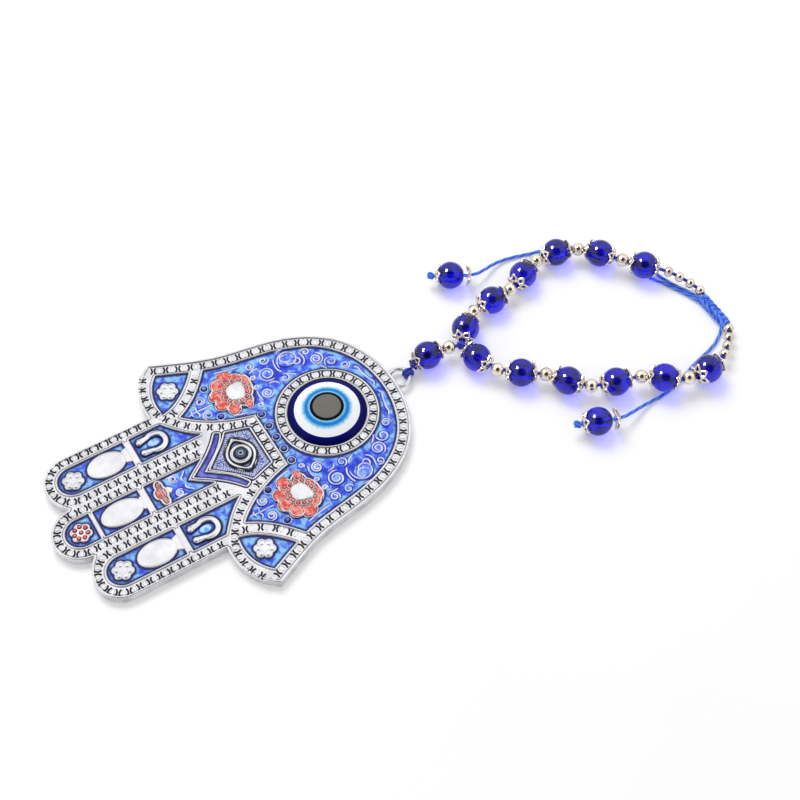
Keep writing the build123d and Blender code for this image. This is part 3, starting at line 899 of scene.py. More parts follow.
class Repeat:
    """A tree that sets one small form at every station of a line or on every place of a cloud."""

    def __init__(self, name: str, sizes: dict[str, float]) -> None:
        """Starts the tree.

        Args:
            name: The tree's name.
            sizes: Its named sizes and their usual values, in metres.
        """
        self.tree = bpy.data.node_groups.new(name, "GeometryNodeTree")
        face = self.tree.interface
        face.new_socket("Geometry", in_out="INPUT", socket_type="NodeSocketGeometry")
        for size, value in sizes.items():
            socket = face.new_socket(size, in_out="INPUT", socket_type="NodeSocketFloat")
            socket.default_value = value
        face.new_socket("Form", in_out="INPUT", socket_type="NodeSocketObject")
        face.new_socket("Finish", in_out="INPUT", socket_type="NodeSocketMaterial")
        face.new_socket("Geometry", in_out="OUTPUT", socket_type="NodeSocketGeometry")
        self.wiring = Wiring(self.tree)
        self.given = self.wiring.add("NodeGroupInput").outputs

    def close(
        self, points: bpy.types.NodeSocket, form: bpy.types.NodeSocket, turn: bpy.types.NodeSocket
    ) -> None:
        """Ends the tree: the form on the points, made real, with its finish."""
        add = self.wiring.add
        set_out = add("GeometryNodeInstanceOnPoints", {"Points": points, "Instance": form, "Rotation": turn})
        real = add("GeometryNodeRealizeInstances", {"Geometry": set_out.outputs[0]})
        smooth = add("GeometryNodeSetShadeSmooth", {"Geometry": real.outputs[0]})
        inputs = {"Geometry": smooth.outputs[0], "Material": self.given["Finish"]}
        dressed = add("GeometryNodeSetMaterial", inputs)
        add("NodeGroupOutput", {"Geometry": dressed.outputs[0]})

    def stations(self) -> tuple[bpy.types.NodeSocket, bpy.types.NodeSocket]:
        """Even stations along the given lines, and the turn that follows them."""
        add = self.wiring.add
        curve = add("GeometryNodeMeshToCurve", {"Mesh": self.given["Geometry"]})
        inputs = {"Curve": curve.outputs[0], "Length": self.given["Pitch"]}
        even = add("GeometryNodeResampleCurve", inputs, mode="LENGTH")
        ahead = {"Vector": add("GeometryNodeInputTangent").outputs[0]}
        turn = add("FunctionNodeAlignRotationToVector", ahead, axis="X", pivot_axis="Z")
        return even.outputs[0], turn.outputs[0]

    def run(
        self, name: str, source: bpy.types.Object, finish: bpy.types.Material, **sizes: object
    ) -> bpy.types.Object:
        """Runs the tree on a source and keeps the result as a plain piece.

        Args:
            name: The new piece's name.
            source: The object that holds the lines or places; it is removed.
            finish: The piece's material.
            sizes: Values for the tree's named inputs.

        Returns:
            The piece.
        """
        modifier = source.modifiers.new("repeat", "NODES")
        modifier.node_group = self.tree
        for item in self.tree.interface.items_tree:
            if item.item_type == "SOCKET" and item.in_out == "INPUT" and item.name != "Geometry":
                value = finish if item.name == "Finish" else sizes.get(item.name.lower())
                if value is not None:
                    modifier[item.identifier] = value
        bpy.context.view_layer.update()
        graph = bpy.context.evaluated_depsgraph_get()
        mesh = bpy.data.meshes.new_from_object(source.evaluated_get(graph))
        mesh.name = name
        bpy.data.objects.remove(source)
        return linked(name, mesh)


class PadRow(Repeat):
    """Low rounded pads, halfway between the stations of a band."""

    def __init__(self) -> None:
        """Builds the tree."""
        super().__init__("pad_row", {"Pitch": 0.003, "Length": 0.0009, "Width": 0.0012, "Height": 0.0002})
        add = self.wiring.add
        ball = add("GeometryNodeMeshUVSphere", {"Segments": 14, "Rings": 7, "Radius": 1.0}).outputs[0]
        sizes = {axis: self.given[name] for axis, name in enumerate(("Length", "Width", "Height"))}
        size = add("ShaderNodeCombineXYZ", sizes).outputs[0]
        half = add("ShaderNodeMath", {0: self.given["Pitch"], 1: 0.5}, operation="MULTIPLY")
        step = add("ShaderNodeCombineXYZ", {0: half.outputs[0]}).outputs[0]
        pad = add("GeometryNodeTransform", {"Geometry": ball, "Scale": size, "Translation": step})
        points, turn = self.stations()
        self.close(points, pad.outputs[0], turn)


class TickRow(Repeat):
    """Pairs of small crescents that stand across a band, back to back, dark with oxide and painted shade."""

    def __init__(self) -> None:
        """Builds the tree."""
        super().__init__("tick_row", {"Pitch": 0.003, "Bend": 0.0014, "Wire": 0.00025, "Apart": 0.0003})
        add = self.wiring.add
        section = {"Resolution": 6, "Radius": self.given["Wire"]}
        round_wire = add("GeometryNodeCurvePrimitiveCircle", section).outputs[0]
        middle = add("ShaderNodeMath", {0: self.given["Bend"], 1: self.given["Apart"]}, operation="ADD")
        both = add("GeometryNodeJoinGeometry")
        sweep, flatness = radians(84), (1.0, 1.0, 0.6)
        for way, facing in ((-1.0, 0.0), (1.0, pi)):
            arc = {"Resolution": 8, "Radius": self.given["Bend"], "Sweep Angle": sweep}
            arc["Start Angle"] = facing - sweep / 2
            crescent = add("GeometryNodeCurveArc", arc).outputs[0]
            inputs = {"Curve": crescent, "Profile Curve": round_wire, "Fill Caps": True}
            solid = add("GeometryNodeCurveToMesh", inputs).outputs[0]
            step = add("ShaderNodeMath", {0: middle.outputs[0], 1: way}, operation="MULTIPLY")
            place = add("ShaderNodeCombineXYZ", {0: step.outputs[0]}).outputs[0]
            inputs = {"Geometry": solid, "Translation": place, "Scale": flatness}
            side = add("GeometryNodeTransform", inputs)
            self.tree.links.new(side.outputs[0], both.inputs[0])
        points, turn = self.stations()
        self.close(points, both.outputs[0], turn)


class SetOnPlaces(Repeat):
    """One form set on every point of a cloud, turned by the point's own turn."""

    def __init__(self) -> None:
        """Builds the tree."""
        super().__init__("set_on_places", {})
        add = self.wiring.add
        form = add("GeometryNodeObjectInfo", {"Object": self.given["Form"]})
        stored = add("GeometryNodeInputNamedAttribute", {"Name": "turn"}, data_type="FLOAT_VECTOR")
        turn = add("FunctionNodeEulerToRotation", {"Euler": stored.outputs[0]})
        self.close(self.given["Geometry"], form.outputs["Geometry"], turn.outputs[0])


def lines_object(name: str, lines: list[np.ndarray], closed: bool, height: float) -> bpy.types.Object:
    """Flat lines as edges, for a tree to follow.

    Args:
        name: The object's name.
        lines: The lines, in millimetres.
        closed: Whether each returns to its start.
        height: Their height.

    Returns:
        The object.
    """
    points, edges = [], []
    for line in lines:
        base = len(points)
        points += [(x * MM, (y + EYE_Y) * MM, height * MM) for x, y in line]
        edges += [(base + step, base + step + 1) for step in range(len(line) - 1)]
        if closed:
            edges.append((base + len(line) - 1, base))
    return linked(name, bare_mesh(name, points, edges, []))


def places_object(name: str, places: list[Matrix]) -> bpy.types.Object:
    """Places as a cloud of points with their turns, in metres in the row frame."""
    mesh = bare_mesh(name, [place.translation[:] for place in places], [], [])
    turns = mesh.attributes.new("turn", "FLOAT_VECTOR", "POINT")
    turns.data.foreach_set("vector", [value for place in places for value in place.to_euler()])
    return linked(name, mesh)


# The studio


@dataclass
class Studio:
    """The floor, the lamps and the camera."""

    lens: float = 68.31
    eye: tuple[float, float, float] = (0.2078, -0.0738, 0.35206)
    aim: tuple[float, float, float] = (0.00702, 0.0467, 0.0026)
    floor_half: float = 3.0
    sky: float = 0.6
    sky_seen: float = 1.2
    sky_low: float = 0.66
    sky_rise: float = 0.7
    dark_side: tuple[float, float, float] = (0.477, -0.286, 0.83)
    dark_from: float = 0.74
    dark_to: float = 0.9
    dark_share: float = 0.06
    lamps: tuple[tuple[str, tuple[float, float, float], float, float], ...] = (
        ("key", (-0.55, 0.10, 0.75), 0.55, 4.3),
        ("fill", (0.45, -0.35, 0.80), 0.90, 0.5),
    )
    lamp_aim: tuple[float, float, float] = (0.0, 0.05, 0.0)
    lamp_ratio: float = 0.8
    window: tuple[float, float, float] = (-0.44, -0.29, 0.85)
    window_aim: tuple[float, float, float] = (0.01, 0.09, 0.0)
    pane_size: tuple[float, float] = (0.17, 0.13)
    pane_step: float = 0.2
    pane_power: float = 5.0
    window_panes: list[bpy.types.Object] = field(default_factory=list)

    def toward(self, place: tuple[float, float, float], aim: tuple[float, float, float]) -> Quaternion:
        """The turn of a lamp or camera at a place that looks at another."""
        return (Vector(aim) - Vector(place)).to_track_quat("-Z", "Y")

    def floor(self) -> None:
        """Lays the floor under the object."""
        half = self.floor_half
        corners = [(-half, -half, 0), (half, -half, 0), (half, half, 0), (-half, half, 0)]
        mesh = bare_mesh("studio_floor", corners, [], [(0, 1, 2, 3)])
        mesh.materials.append(StudioFloor().material())
        linked("studio_floor", mesh)

    def lamp(
        self, name: str, place: Vector, turn: Quaternion, size: tuple[float, float], power: float
    ) -> bpy.types.Object:
        """Hangs a rectangular lamp.

        Args:
            name: The lamp's name.
            place: Where it hangs.
            turn: How it is turned.
            size: Its width and height.
            power: Its power in watts.

        Returns:
            The lamp.
        """
        data = bpy.data.lights.new(name, "AREA")
        data.shape = "RECTANGLE"
        data.size, data.size_y = size
        data.energy = power
        made = linked(name, data)
        made.location = place
        made.rotation_euler = turn.to_euler()
        return made

    def light(self) -> None:
        """Hangs the lamps and the window's four panes."""
        for name, place, size, power in self.lamps:
            turn = self.toward(place, self.lamp_aim)
            self.lamp(name, Vector(place), turn, (size, size * self.lamp_ratio), power).visible_glossy = False
        turn = self.toward(self.window, self.window_aim)
        width, height = self.pane_size
        for across in (-0.5, 0.5):
            for up in (-0.5, 0.5):
                step = turn @ Vector((across * self.pane_step, up * self.pane_step * height / width, 0.0))
                place = Vector(self.window) + step
                pane = self.lamp("window_pane", place, turn, self.pane_size, self.pane_power)
                pane.visible_diffuse = False
                self.window_panes.append(pane)

    def hang_sky(self) -> None:
        """Sets the sky: white behind the object, darker in mirrors on the camera's side."""
        world = bpy.data.worlds.new("studio_sky")
        bpy.context.scene.world = world
        world.use_nodes = True
        sky = Wiring(world.node_tree)
        rays = sky.add("ShaderNodeLightPath").outputs
        way = sky.add("ShaderNodeTexCoord").outputs["Generated"]
        up = sky.add("ShaderNodeSeparateXYZ", {0: way}).outputs[2]
        shown = sky.between(up, 0.0, self.sky_rise, to_min=self.sky_low, to_max=self.sky_seen)
        dot = {0: way, 1: self.dark_side}
        toward = sky.add("ShaderNodeVectorMath", dot, operation="DOT_PRODUCT").outputs["Value"]
        shade = sky.between(toward, self.dark_from, self.dark_to, to_min=1.0, to_max=self.dark_share)
        shown = sky.sum("MULTIPLY", shown, shade)
        mirrored_ray = sky.sum("MAXIMUM", rays["Is Glossy Ray"], rays["Is Transmission Ray"])
        float_mix = {"data_type": "FLOAT"}
        lit = sky.add("ShaderNodeMix", {0: mirrored_ray, 2: self.sky, 3: shown}, **float_mix).outputs[0]
        seen = sky.add("ShaderNodeMix", {0: rays["Is Camera Ray"], 2: lit, 3: 1.0}, **float_mix).outputs[0]
        back = world.node_tree.nodes["Background"]
        back.inputs["Color"].default_value = (1.0, 1.0, 1.0, 1.0)
        world.node_tree.links.new(seen, back.inputs["Strength"])

    def shine_on(self, finishes: tuple[bpy.types.Material, ...]) -> None:
        """Lets the window's panes light only the pieces with some finishes.

        Args:
            finishes: The finishes that mirror the window.
        """
        mirrors = bpy.data.collections.new("window_mirrors")
        for piece in bpy.data.objects:
            if piece.type == "MESH" and piece.data.materials and piece.data.materials[0] in finishes:
                mirrors.objects.link(piece)
        for lamp in self.window_panes:
            lamp.light_linking.receiver_collection = mirrors

    def camera(self) -> None:
        """Stands the camera where the photograph was taken."""
        data = bpy.data.cameras.new("photo_camera")
        data.lens = self.lens
        data.sensor_width = 36.0
        data.sensor_fit = "HORIZONTAL"
        data.clip_start = 0.01
        made = linked("photo_camera", data)
        made.location = self.eye
        made.rotation_euler = self.toward(self.eye, self.aim).to_euler()
        bpy.context.scene.camera = made

    def build(self) -> None:
        """Builds the whole studio."""
        self.floor()
        self.light()
        self.hang_sky()
        self.camera()
        bpy.context.scene.view_settings.view_transform = "Standard"


# The string

STEM = (
    (-0.0012, 0.05555, 0.00335), (-0.00125, 0.0606, 0.0041), (-0.0009, 0.0655, 0.0042),
    (0.0003, 0.0698, 0.0039),
)
UPPER = (
    (-0.0001, 0.0713, 0.004), (-0.0085, 0.0798, 0.00405), (-0.008, 0.0936, 0.00405),
    (-0.0149, 0.1058, 0.00405), (-0.012, 0.1195, 0.0042), (-0.0005, 0.1273, 0.0047),
    (0.0088, 0.1362, 0.0046), (0.0145, 0.1399, 0.0032), (0.0182, 0.1417, 0.0022),
    (0.0212, 0.142, 0.0017),
)
LOWER = (
    (0.0013, 0.0709, 0.004), (0.0138, 0.0739, 0.00405), (0.0209, 0.0861, 0.00405),
    (0.0321, 0.0935, 0.0041), (0.0353, 0.108, 0.0047), (0.0445, 0.1183, 0.005), (0.0425, 0.1314, 0.0039),
    (0.0386, 0.1364, 0.0028), (0.035, 0.1399, 0.002), (0.0318, 0.1416, 0.0016),
)
UPPER_TAIL = (
    (0.0212, 0.1408, 0.001), (0.0174, 0.1397, 0.0007), (0.0134, 0.1377, 0.0006), (0.0092, 0.136, 0.0006),
    (0.0046, 0.1348, 0.0006), (-0.0002, 0.1322, 0.0006), (-0.0042, 0.1288, 0.0006),
    (-0.0088, 0.1262, 0.0006), (-0.013, 0.1224, 0.0006), (-0.0164, 0.1176, 0.0006),
    (-0.0181, 0.1124, 0.0006), (-0.0191, 0.1076, 0.0006), (-0.0206, 0.1029, 0.0006),
    (-0.0212, 0.0989, 0.0008), (-0.0208, 0.0949, 0.0016), (-0.0195, 0.0911, 0.0028),
    (-0.0189, 0.0871, 0.0038), (-0.0222, 0.0814, 0.00406), (-0.0251, 0.0764, 0.0039),
)
LOWER_TAIL = (
    (0.0318, 0.1399, 0.0009), (0.0336, 0.1379, 0.0007), (0.0355, 0.1349, 0.0006),
    (0.0368, 0.1312, 0.0006), (0.0377, 0.1272, 0.0006), (0.0389, 0.1233, 0.0006),
    (0.0405, 0.1193, 0.0006), (0.0417, 0.1153, 0.0006), (0.0424, 0.1112, 0.0006),
    (0.0424, 0.1072, 0.0008), (0.0428, 0.1032, 0.0016), (0.0436, 0.0993, 0.0028),
    (0.0441, 0.0952, 0.0038), (0.0417, 0.0891, 0.00406), (0.0396, 0.0837, 0.0039),
)
SPARE_END = (
    (0.0212, 0.1397, 0.001), (0.0174, 0.1385, 0.0007), (0.0132, 0.1364, 0.0006),
    (0.0094, 0.1346, 0.0006), (0.0065, 0.1326, 0.0006),
)


def line_of(points: tuple[tuple[float, float, float], ...]) -> np.ndarray:
    """A cord's smooth line, read from the NURBS spline on its route.

    Args:
        points: The route's points in metres.

    Returns:
        The line's points in metres.
    """
    curve = bpy.data.curves.new("cord_line", "CURVE")
    curve.dimensions = "3D"
    curve.resolution_u = 14
    spline = curve.splines.new("NURBS")
    spline.points.add(len(points) - 1)
    for point, place in zip(spline.points, points):
        point.co = (*place, 1.0)
    spline.order_u = 3
    spline.use_endpoint_u = True
    made = linked("cord_line", curve)
    bpy.context.view_layer.update()
    mesh = bpy.data.meshes.new_from_object(made.evaluated_get(bpy.context.evaluated_depsgraph_get()))
    line = np.array([vertex.co[:] for vertex in mesh.vertices])
    bpy.data.objects.remove(made)
    bpy.data.meshes.remove(mesh)
    return line


@dataclass(frozen=True)
class CordFacts:
    """What is settled about one cord."""

    name: str
    route: tuple[tuple[float, float, float], ...]
    length: float
    royal: bool = False
    far_end: str = "knot"


@dataclass
class BeadString:
    """Cords, glass beads, star caps, round silver and knots."""

    palette: Palette
    cord: Strand = Strand(0.5)
    cord_step: float = 0.35
    bead_radius: float = 4.0
    bore: float = 1.02
    lip: float = 0.22
    cap_inner: float = 4.12
    cap_root: float = 1.2
    cap_reach: float = 3.25
    cap_half: float = 0.92
    cap_wire: float = 0.3
    cap_flare: float = 0.25
    collar: tuple[tuple[float, float], ...] = (
        (1.04, 4.42), (1.2, 4.46), (1.45, 4.36), (1.62, 4.05), (1.55, 3.86), (1.04, 4.0),
    )
    petals: int = 6
    loose_lift: float = 1.6
    spacer: tuple[float, float] = (2.0, 0.87)
    small_ball: tuple[float, float] = (1.5, 0.77)
    small_lip: float = 0.16
    plait_radius: float = 0.84
    plait_turns: float = 2.1
    wrap_half: tuple[float, float] = (1.2, 0.86)
    thin_cord: float = 0.45
    cords: tuple[CordFacts, ...] = (
        CordFacts("upper_cord", UPPER, 0.0926),
        CordFacts("lower_cord", LOWER, 0.0949),
        CordFacts("upper_tail_cord", UPPER_TAIL, 0.0891, royal=True),
        CordFacts("lower_tail_cord", LOWER_TAIL, 0.0597, royal=True),
    )

    def __post_init__(self) -> None:
        """Reads the beads' places from the frame's joints."""
        self.setter = SetOnPlaces()
        self.places = {
            joint["child"]: (Vector(joint["pos_m"]), Vector(joint["axis"]).normalized())
            for joint in frame["joints"]
            if joint["child"].endswith("bead") or "_bead_" in joint["child"]
        }
        self.lines = {facts.name: line_of(facts.route) for facts in self.cords}
        self.lines["stem_cord"] = line_of(STEM)
        self.lines["spare_cord_end"] = line_of(SPARE_END)

    def hand_over(self, shape: Shape, name: str, node: str, royal: bool = False) -> bpy.types.Object:
        """Hands a shape of the darker or the brighter cord to the frame."""
        slot = "royal_cord" if royal else "navy_cord"
        return finish_piece(shape.piece(name, getattr(self.palette, slot)), Body.STRING, slot, node)

    def silver_form(self, name: str, shape: Shape) -> bpy.types.Object:
        """A form about the origin, for the tree to set on places."""
        form = shape.piece(name, self.palette.findings)
        form.data.transform(Matrix.Translation((0.0, -EYE_Y * MM, 0.0)))
        return form

    def ball(self, radius: float, bore: float, lip: float, steps: int, sides: int) -> tuple[np.ndarray, list]:
        """A drilled ball with softened hole edges, its axis upright.

        Args:
            radius: The ball's radius.
            bore: The hole's radius.
            lip: How far the hole's edge is rounded.
            steps: Steps along the outside.
            sides: Steps round the axis.

        Returns:
            The points and the faces.
        """
        start = np.arcsin((bore + lip) / radius)
        angles = np.linspace(start, pi - start, steps)
        outside = np.stack([radius * np.sin(angles), radius * np.cos(angles)], axis=1)
        end = outside[0, 1]
        hole = np.stack([np.full(5, bore), np.linspace(lip - end, end - lip, 5)], axis=1)
        soft = np.array([[bore + 0.3 * lip, end - 0.18 * lip]])
        return turned(np.vstack([outside, soft * [1, -1], hole, soft]), sides)

    def dress_beads(self) -> list[bpy.types.Object]:
        """Makes every glass bead on its own body."""
        made = []
        points, faces = self.ball(self.bead_radius, self.bore, self.lip, steps=40, sides=56)
        for name, (middle, axis) in self.places.items():
            shape = Shape()
            shape.join(moved_to(points, place_at(in_hand(middle), axis)), faces)
            piece = shape.piece(f"{name}_glass", self.palette.bead)
            made.append(finish_piece(piece, name, "bead_glass", name))
        return made

    def cap_form(self) -> bpy.types.Object:
        """One star cap: a collar and open petals bent over the bead, its axis upright."""
        shape = Shape()
        petal_wire = Strand(self.cap_wire, lobes=2, depth=0.0, sides=7)
        middle = self.cap_inner + self.cap_wire
        steps = np.linspace(0.0, 2.0, 28, endpoint=False)
        share = 1 - np.abs(1 - steps)
        out = self.cap_root + (self.cap_reach - self.cap_root) * share
        width = self.cap_half * np.interp(share, [0.0, 0.45, 1.0], [0.35, 1.0, 0.0])
        wide = width * np.where(steps < 1, 1.0, -1.0)
        for turn in turns_of(self.petals):
            across = out * cos(turn) - wide * sin(turn)
            along = out * sin(turn) + wide * cos(turn)
            height = np.sqrt(middle**2 - across**2 - along**2) + self.cap_flare * share**3
            petal_wire.add(shape, np.stack([across, along, height], axis=1), closed=True)
        shape.join(*turned(np.array(self.collar), 30))
        shape.uvs = []
        return self.silver_form("cap_form", shape)

    def caps(
        self, name: str, body: Body | str, beads: list[tuple[str, int, float]], node: str
    ) -> bpy.types.Object:
        """Sets star caps on bead ends.

        Args:
            name: The piece's name.
            body: The body it rides on.
            beads: Each cap's bead, its end (1 or -1), and how far it lies off the bead.
            node: The node it stands for.

        Returns:
            The piece.
        """
        places = []
        for bead, end, off in beads:
            middle, axis = self.places[bead]
            places.append(place_at(middle + axis * (end * off * MM), axis, end < 0))
        source = places_object("cap_places", places)
        piece = self.setter.run(name, source, self.palette.findings, form=self.cap)
        return finish_piece(piece, body, "silver_findings", node)

    def dress_caps(self) -> dict[str, bpy.types.Object]:
        """Makes the caps of every strand and tail."""
        self.cap = self.cap_form()
        ends = [("stem_bead", 1, 0.0), ("stem_bead", -1, 0.0)]
        made = {"stem": self.caps("stem_star_caps", Body.STRING, ends, "stem_caps")}
        for side in ("upper", "lower"):
            beads = [(f"{side}_bead_{count}", end, 0.0) for count in range(1, 7) for end in (1, -1)]
            made[side] = self.caps(f"{side}_star_caps", Body.STRING, beads, f"{side}_caps")
            tail = f"{side}_tail"
            loose = f"{tail}_loose_cap"
            for kind, body, end, off in (("end", Body.STRING, 1, 0.0), ("loose", loose, -1, self.loose_lift)):
                node = f"{tail}_{kind}_cap"
                made[node] = self.caps(f"{tail}_{kind}_star", body, [(f"{tail}_bead", end, off)], node)
        bpy.data.objects.remove(self.cap)
        return made

    def direction_at(self, line: np.ndarray, middle: np.ndarray) -> np.ndarray:
        """The direction of a cord nearest to a place."""
        near = int(np.linalg.norm(line - middle, axis=1).argmin())
        return line[min(near + 2, len(line) - 1)] - line[max(near - 2, 0)]

    def dress_round_silver(self) -> dict[str, bpy.types.Object]:
        """Makes the spacers and the small balls."""
        made = {}
        wanted = [("stem_spacer", "stem_cord", self.spacer)]
        for side in ("upper", "lower"):
            wanted.append((f"{side}_spacers", f"{side}_cord", self.spacer))
            wanted.append((f"{side}_small_balls", f"{side}_cord", self.small_ball))
        for node, cord, (radius, bore) in wanted:
            shape = Shape()
            shape.join(*self.ball(radius, bore, self.small_lip, steps=22, sides=32))
            form = self.silver_form("ball_form", shape)
            places = []
            for centre in NodeMesh.of(node).centres():
                middle = (centre + FROM_EYE) * MM
                places.append(place_at(middle, self.direction_at(self.lines[cord], middle)))
            source = places_object("ball_places", places)
            piece = self.setter.run(f"{node}_turned", source, self.palette.findings, form=form)
            bpy.data.objects.remove(form)
            made[node] = finish_piece(piece, Body.STRING, "silver_findings", node)
        return made

    def tube(self, node: str, royal: bool) -> bpy.types.Object:
        """Twists a cord along its line and hands it over."""
        shape = Shape()
        self.cord.add(shape, resampled(in_hand(self.lines[node]), self.cord_step, False))
        return self.hand_over(shape, f"{node}_twist", node, royal)

    def dress_cords(self, pieces: dict[str, bpy.types.Object], beads: list[bpy.types.Object]) -> None:
        """Args:
            pieces: The caps, silver and knots that may be strung on a cord, by strand or node.
            beads: The glass beads.
        """
        for facts in self.cords:
            piece = self.tube(facts.name, facts.royal)
            side = facts.name.removesuffix("_cord")
            strung = [made for key, made in pieces.items() if key == side or key.startswith(f"{side}_")]
            if not facts.royal:
                strung = [made for made in strung if "tail" not in made.name]
            strung += [bead for bead in beads if bead.name.startswith(f"{side}_bead")]
        self.tube("stem_cord", False)
        self.tube("spare_cord_end", True)

    def knot(
        self, node: str, middle: Vector, axis: np.ndarray, radius: float, royal: bool
    ) -> bpy.types.Object:
        """A tight knot: cord turns that cross over a hidden core.

        Args:
            node: The node it stands for.
            middle: Its middle in metres.
            axis: The cord's direction through it.
            radius: Its outer radius in millimetres.
            royal: Whether it is made of the brighter cord.

        Returns:
            The piece.
        """
        shape = Shape()
        steps = turns_of(90)
        thick = radius * 0.42
        big = radius - thick
        out = big * (0.62 + 0.38 * np.cos(3 * steps))
        way = [out * np.cos(2 * steps), out * np.sin(2 * steps), big * 0.75 * np.sin(3 * steps)]
        line = moved_to(np.stack(way, axis=1), place_at(in_hand(middle), axis))
        Strand(thick, depth=0.12, turn_length=2.4, sides=10).add(shape, line, closed=True)
        return self.hand_over(shape, f"{node}_turns", node, royal)

    def dress_knots(self) -> dict[str, bpy.types.Object]:
        """Makes the junction knot and the end knots."""
        made = {}
        for node, cord, radius, royal in (
            ("junction_knot", "stem_cord", 1.4, False),
            ("upper_tail_end_knot", "upper_tail_cord", 1.25, True),
            ("lower_tail_end_knot", "lower_tail_cord", 1.25, True),
        ):
            line = self.lines[cord]
            low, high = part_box(node)
            made[node] = self.knot(node, (low + high) / 2, line[-1] - line[-4], radius, royal)
        return made

    def dress_slider(self) -> None:
        """Makes the row of square knots: three full strands that cross, wrapped at both ends."""
        low, high = (in_hand(corner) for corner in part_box("slider_knot"))
        middle = (low + high) / 2
        half_wide, half_high = (high[1] - low[1]) / 2, (high[2] - low[2]) / 2
        shape, radius = Shape(), self.plait_radius
        steps = np.linspace(0.0, 1.0, 120)
        inset = radius * 0.7
        along = low[0] + inset + steps * (high[0] - low[0] - 2 * inset)
        for start in turns_of(3):
            turn = tau * steps * self.plait_turns + start
            across = middle[1] + (half_wide - radius) * np.sin(turn)
            over = middle[2] + (half_high - radius) * np.sin(2 * turn)
            Strand(radius, turn_length=2.6).add(shape, np.stack([along, across, over], axis=1))
        flat = ring((0.0, 0.0), 1.0, 36) * self.wrap_half + middle[1:]
        for place in (low[0] + 0.5, high[0] - 0.5):
            wrap = np.column_stack([np.full(len(flat), place), flat])
            Strand(self.thin_cord, depth=0.12, sides=10).add(shape, wrap, closed=True)
        self.hand_over(shape, "slider_square_knots", "slider_knot", royal=True)

    def dress_ring_cord(self) -> None:
        """Makes the two turns round the ring."""
        shape = Shape()
        low, high = (in_hand(corner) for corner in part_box("ring_loops"))
        middle = (low + high) / 2
        flat = ring(middle[1:], (high[1] - low[1]) / 2 - self.thin_cord, 48)
        for side in (-0.465, 0.465):
            turn = np.column_stack([np.full(len(flat), middle[0] + side), flat])
            Strand(self.thin_cord, depth=0.12).add(shape, turn, closed=True)
        self.hand_over(shape, "ring_cord_turns", "ring_loops")

    def dress_ring_knot(self) -> None:
        """Makes the flat knot over the ring, with its two cut ends."""
        shape = Shape()
        start, after = np.array(STEM[0]), np.array(STEM[1])
        place = place_at(in_hand(start), after - start)
        strand = Strand(0.44, depth=0.12, turn_length=2.4, sides=12)
        turn = np.column_stack([ring((0.0, 0.0), 0.98, 60), 0.16 * np.cos(2 * turns_of(60))])
        strand.add(shape, moved_to(turn, place), closed=True)
        plug = np.column_stack([np.zeros((8, 2)), np.linspace(-0.5, 0.5, 8)])
        strand.add(shape, moved_to(plug, place), radius=0.6)
        for angle in (radians(115), radians(165)):
            end = np.outer(np.linspace(0.6, 2.45, 12), [cos(angle), sin(angle), 0.0])
            strand.add(shape, moved_to(end, place))
        self.hand_over(shape, "ring_knot_turns", "ring_knot")

    def build(self) -> None:
        """Builds the whole string."""
        beads = self.dress_beads()
        pieces = {**self.dress_caps(), **self.dress_round_silver(), **self.dress_knots()}
        self.dress_cords(pieces, beads)
        self.dress_slider()
        self.dress_ring_cord()
        self.dress_ring_knot()


# The hand


@dataclass(frozen=True)
class Cell:
    """An enamelled cell: its node, its slot, its finish in the palette, and how finely it is meshed."""

    node: str
    slot: str
    finish: str
    step: float = 0.4


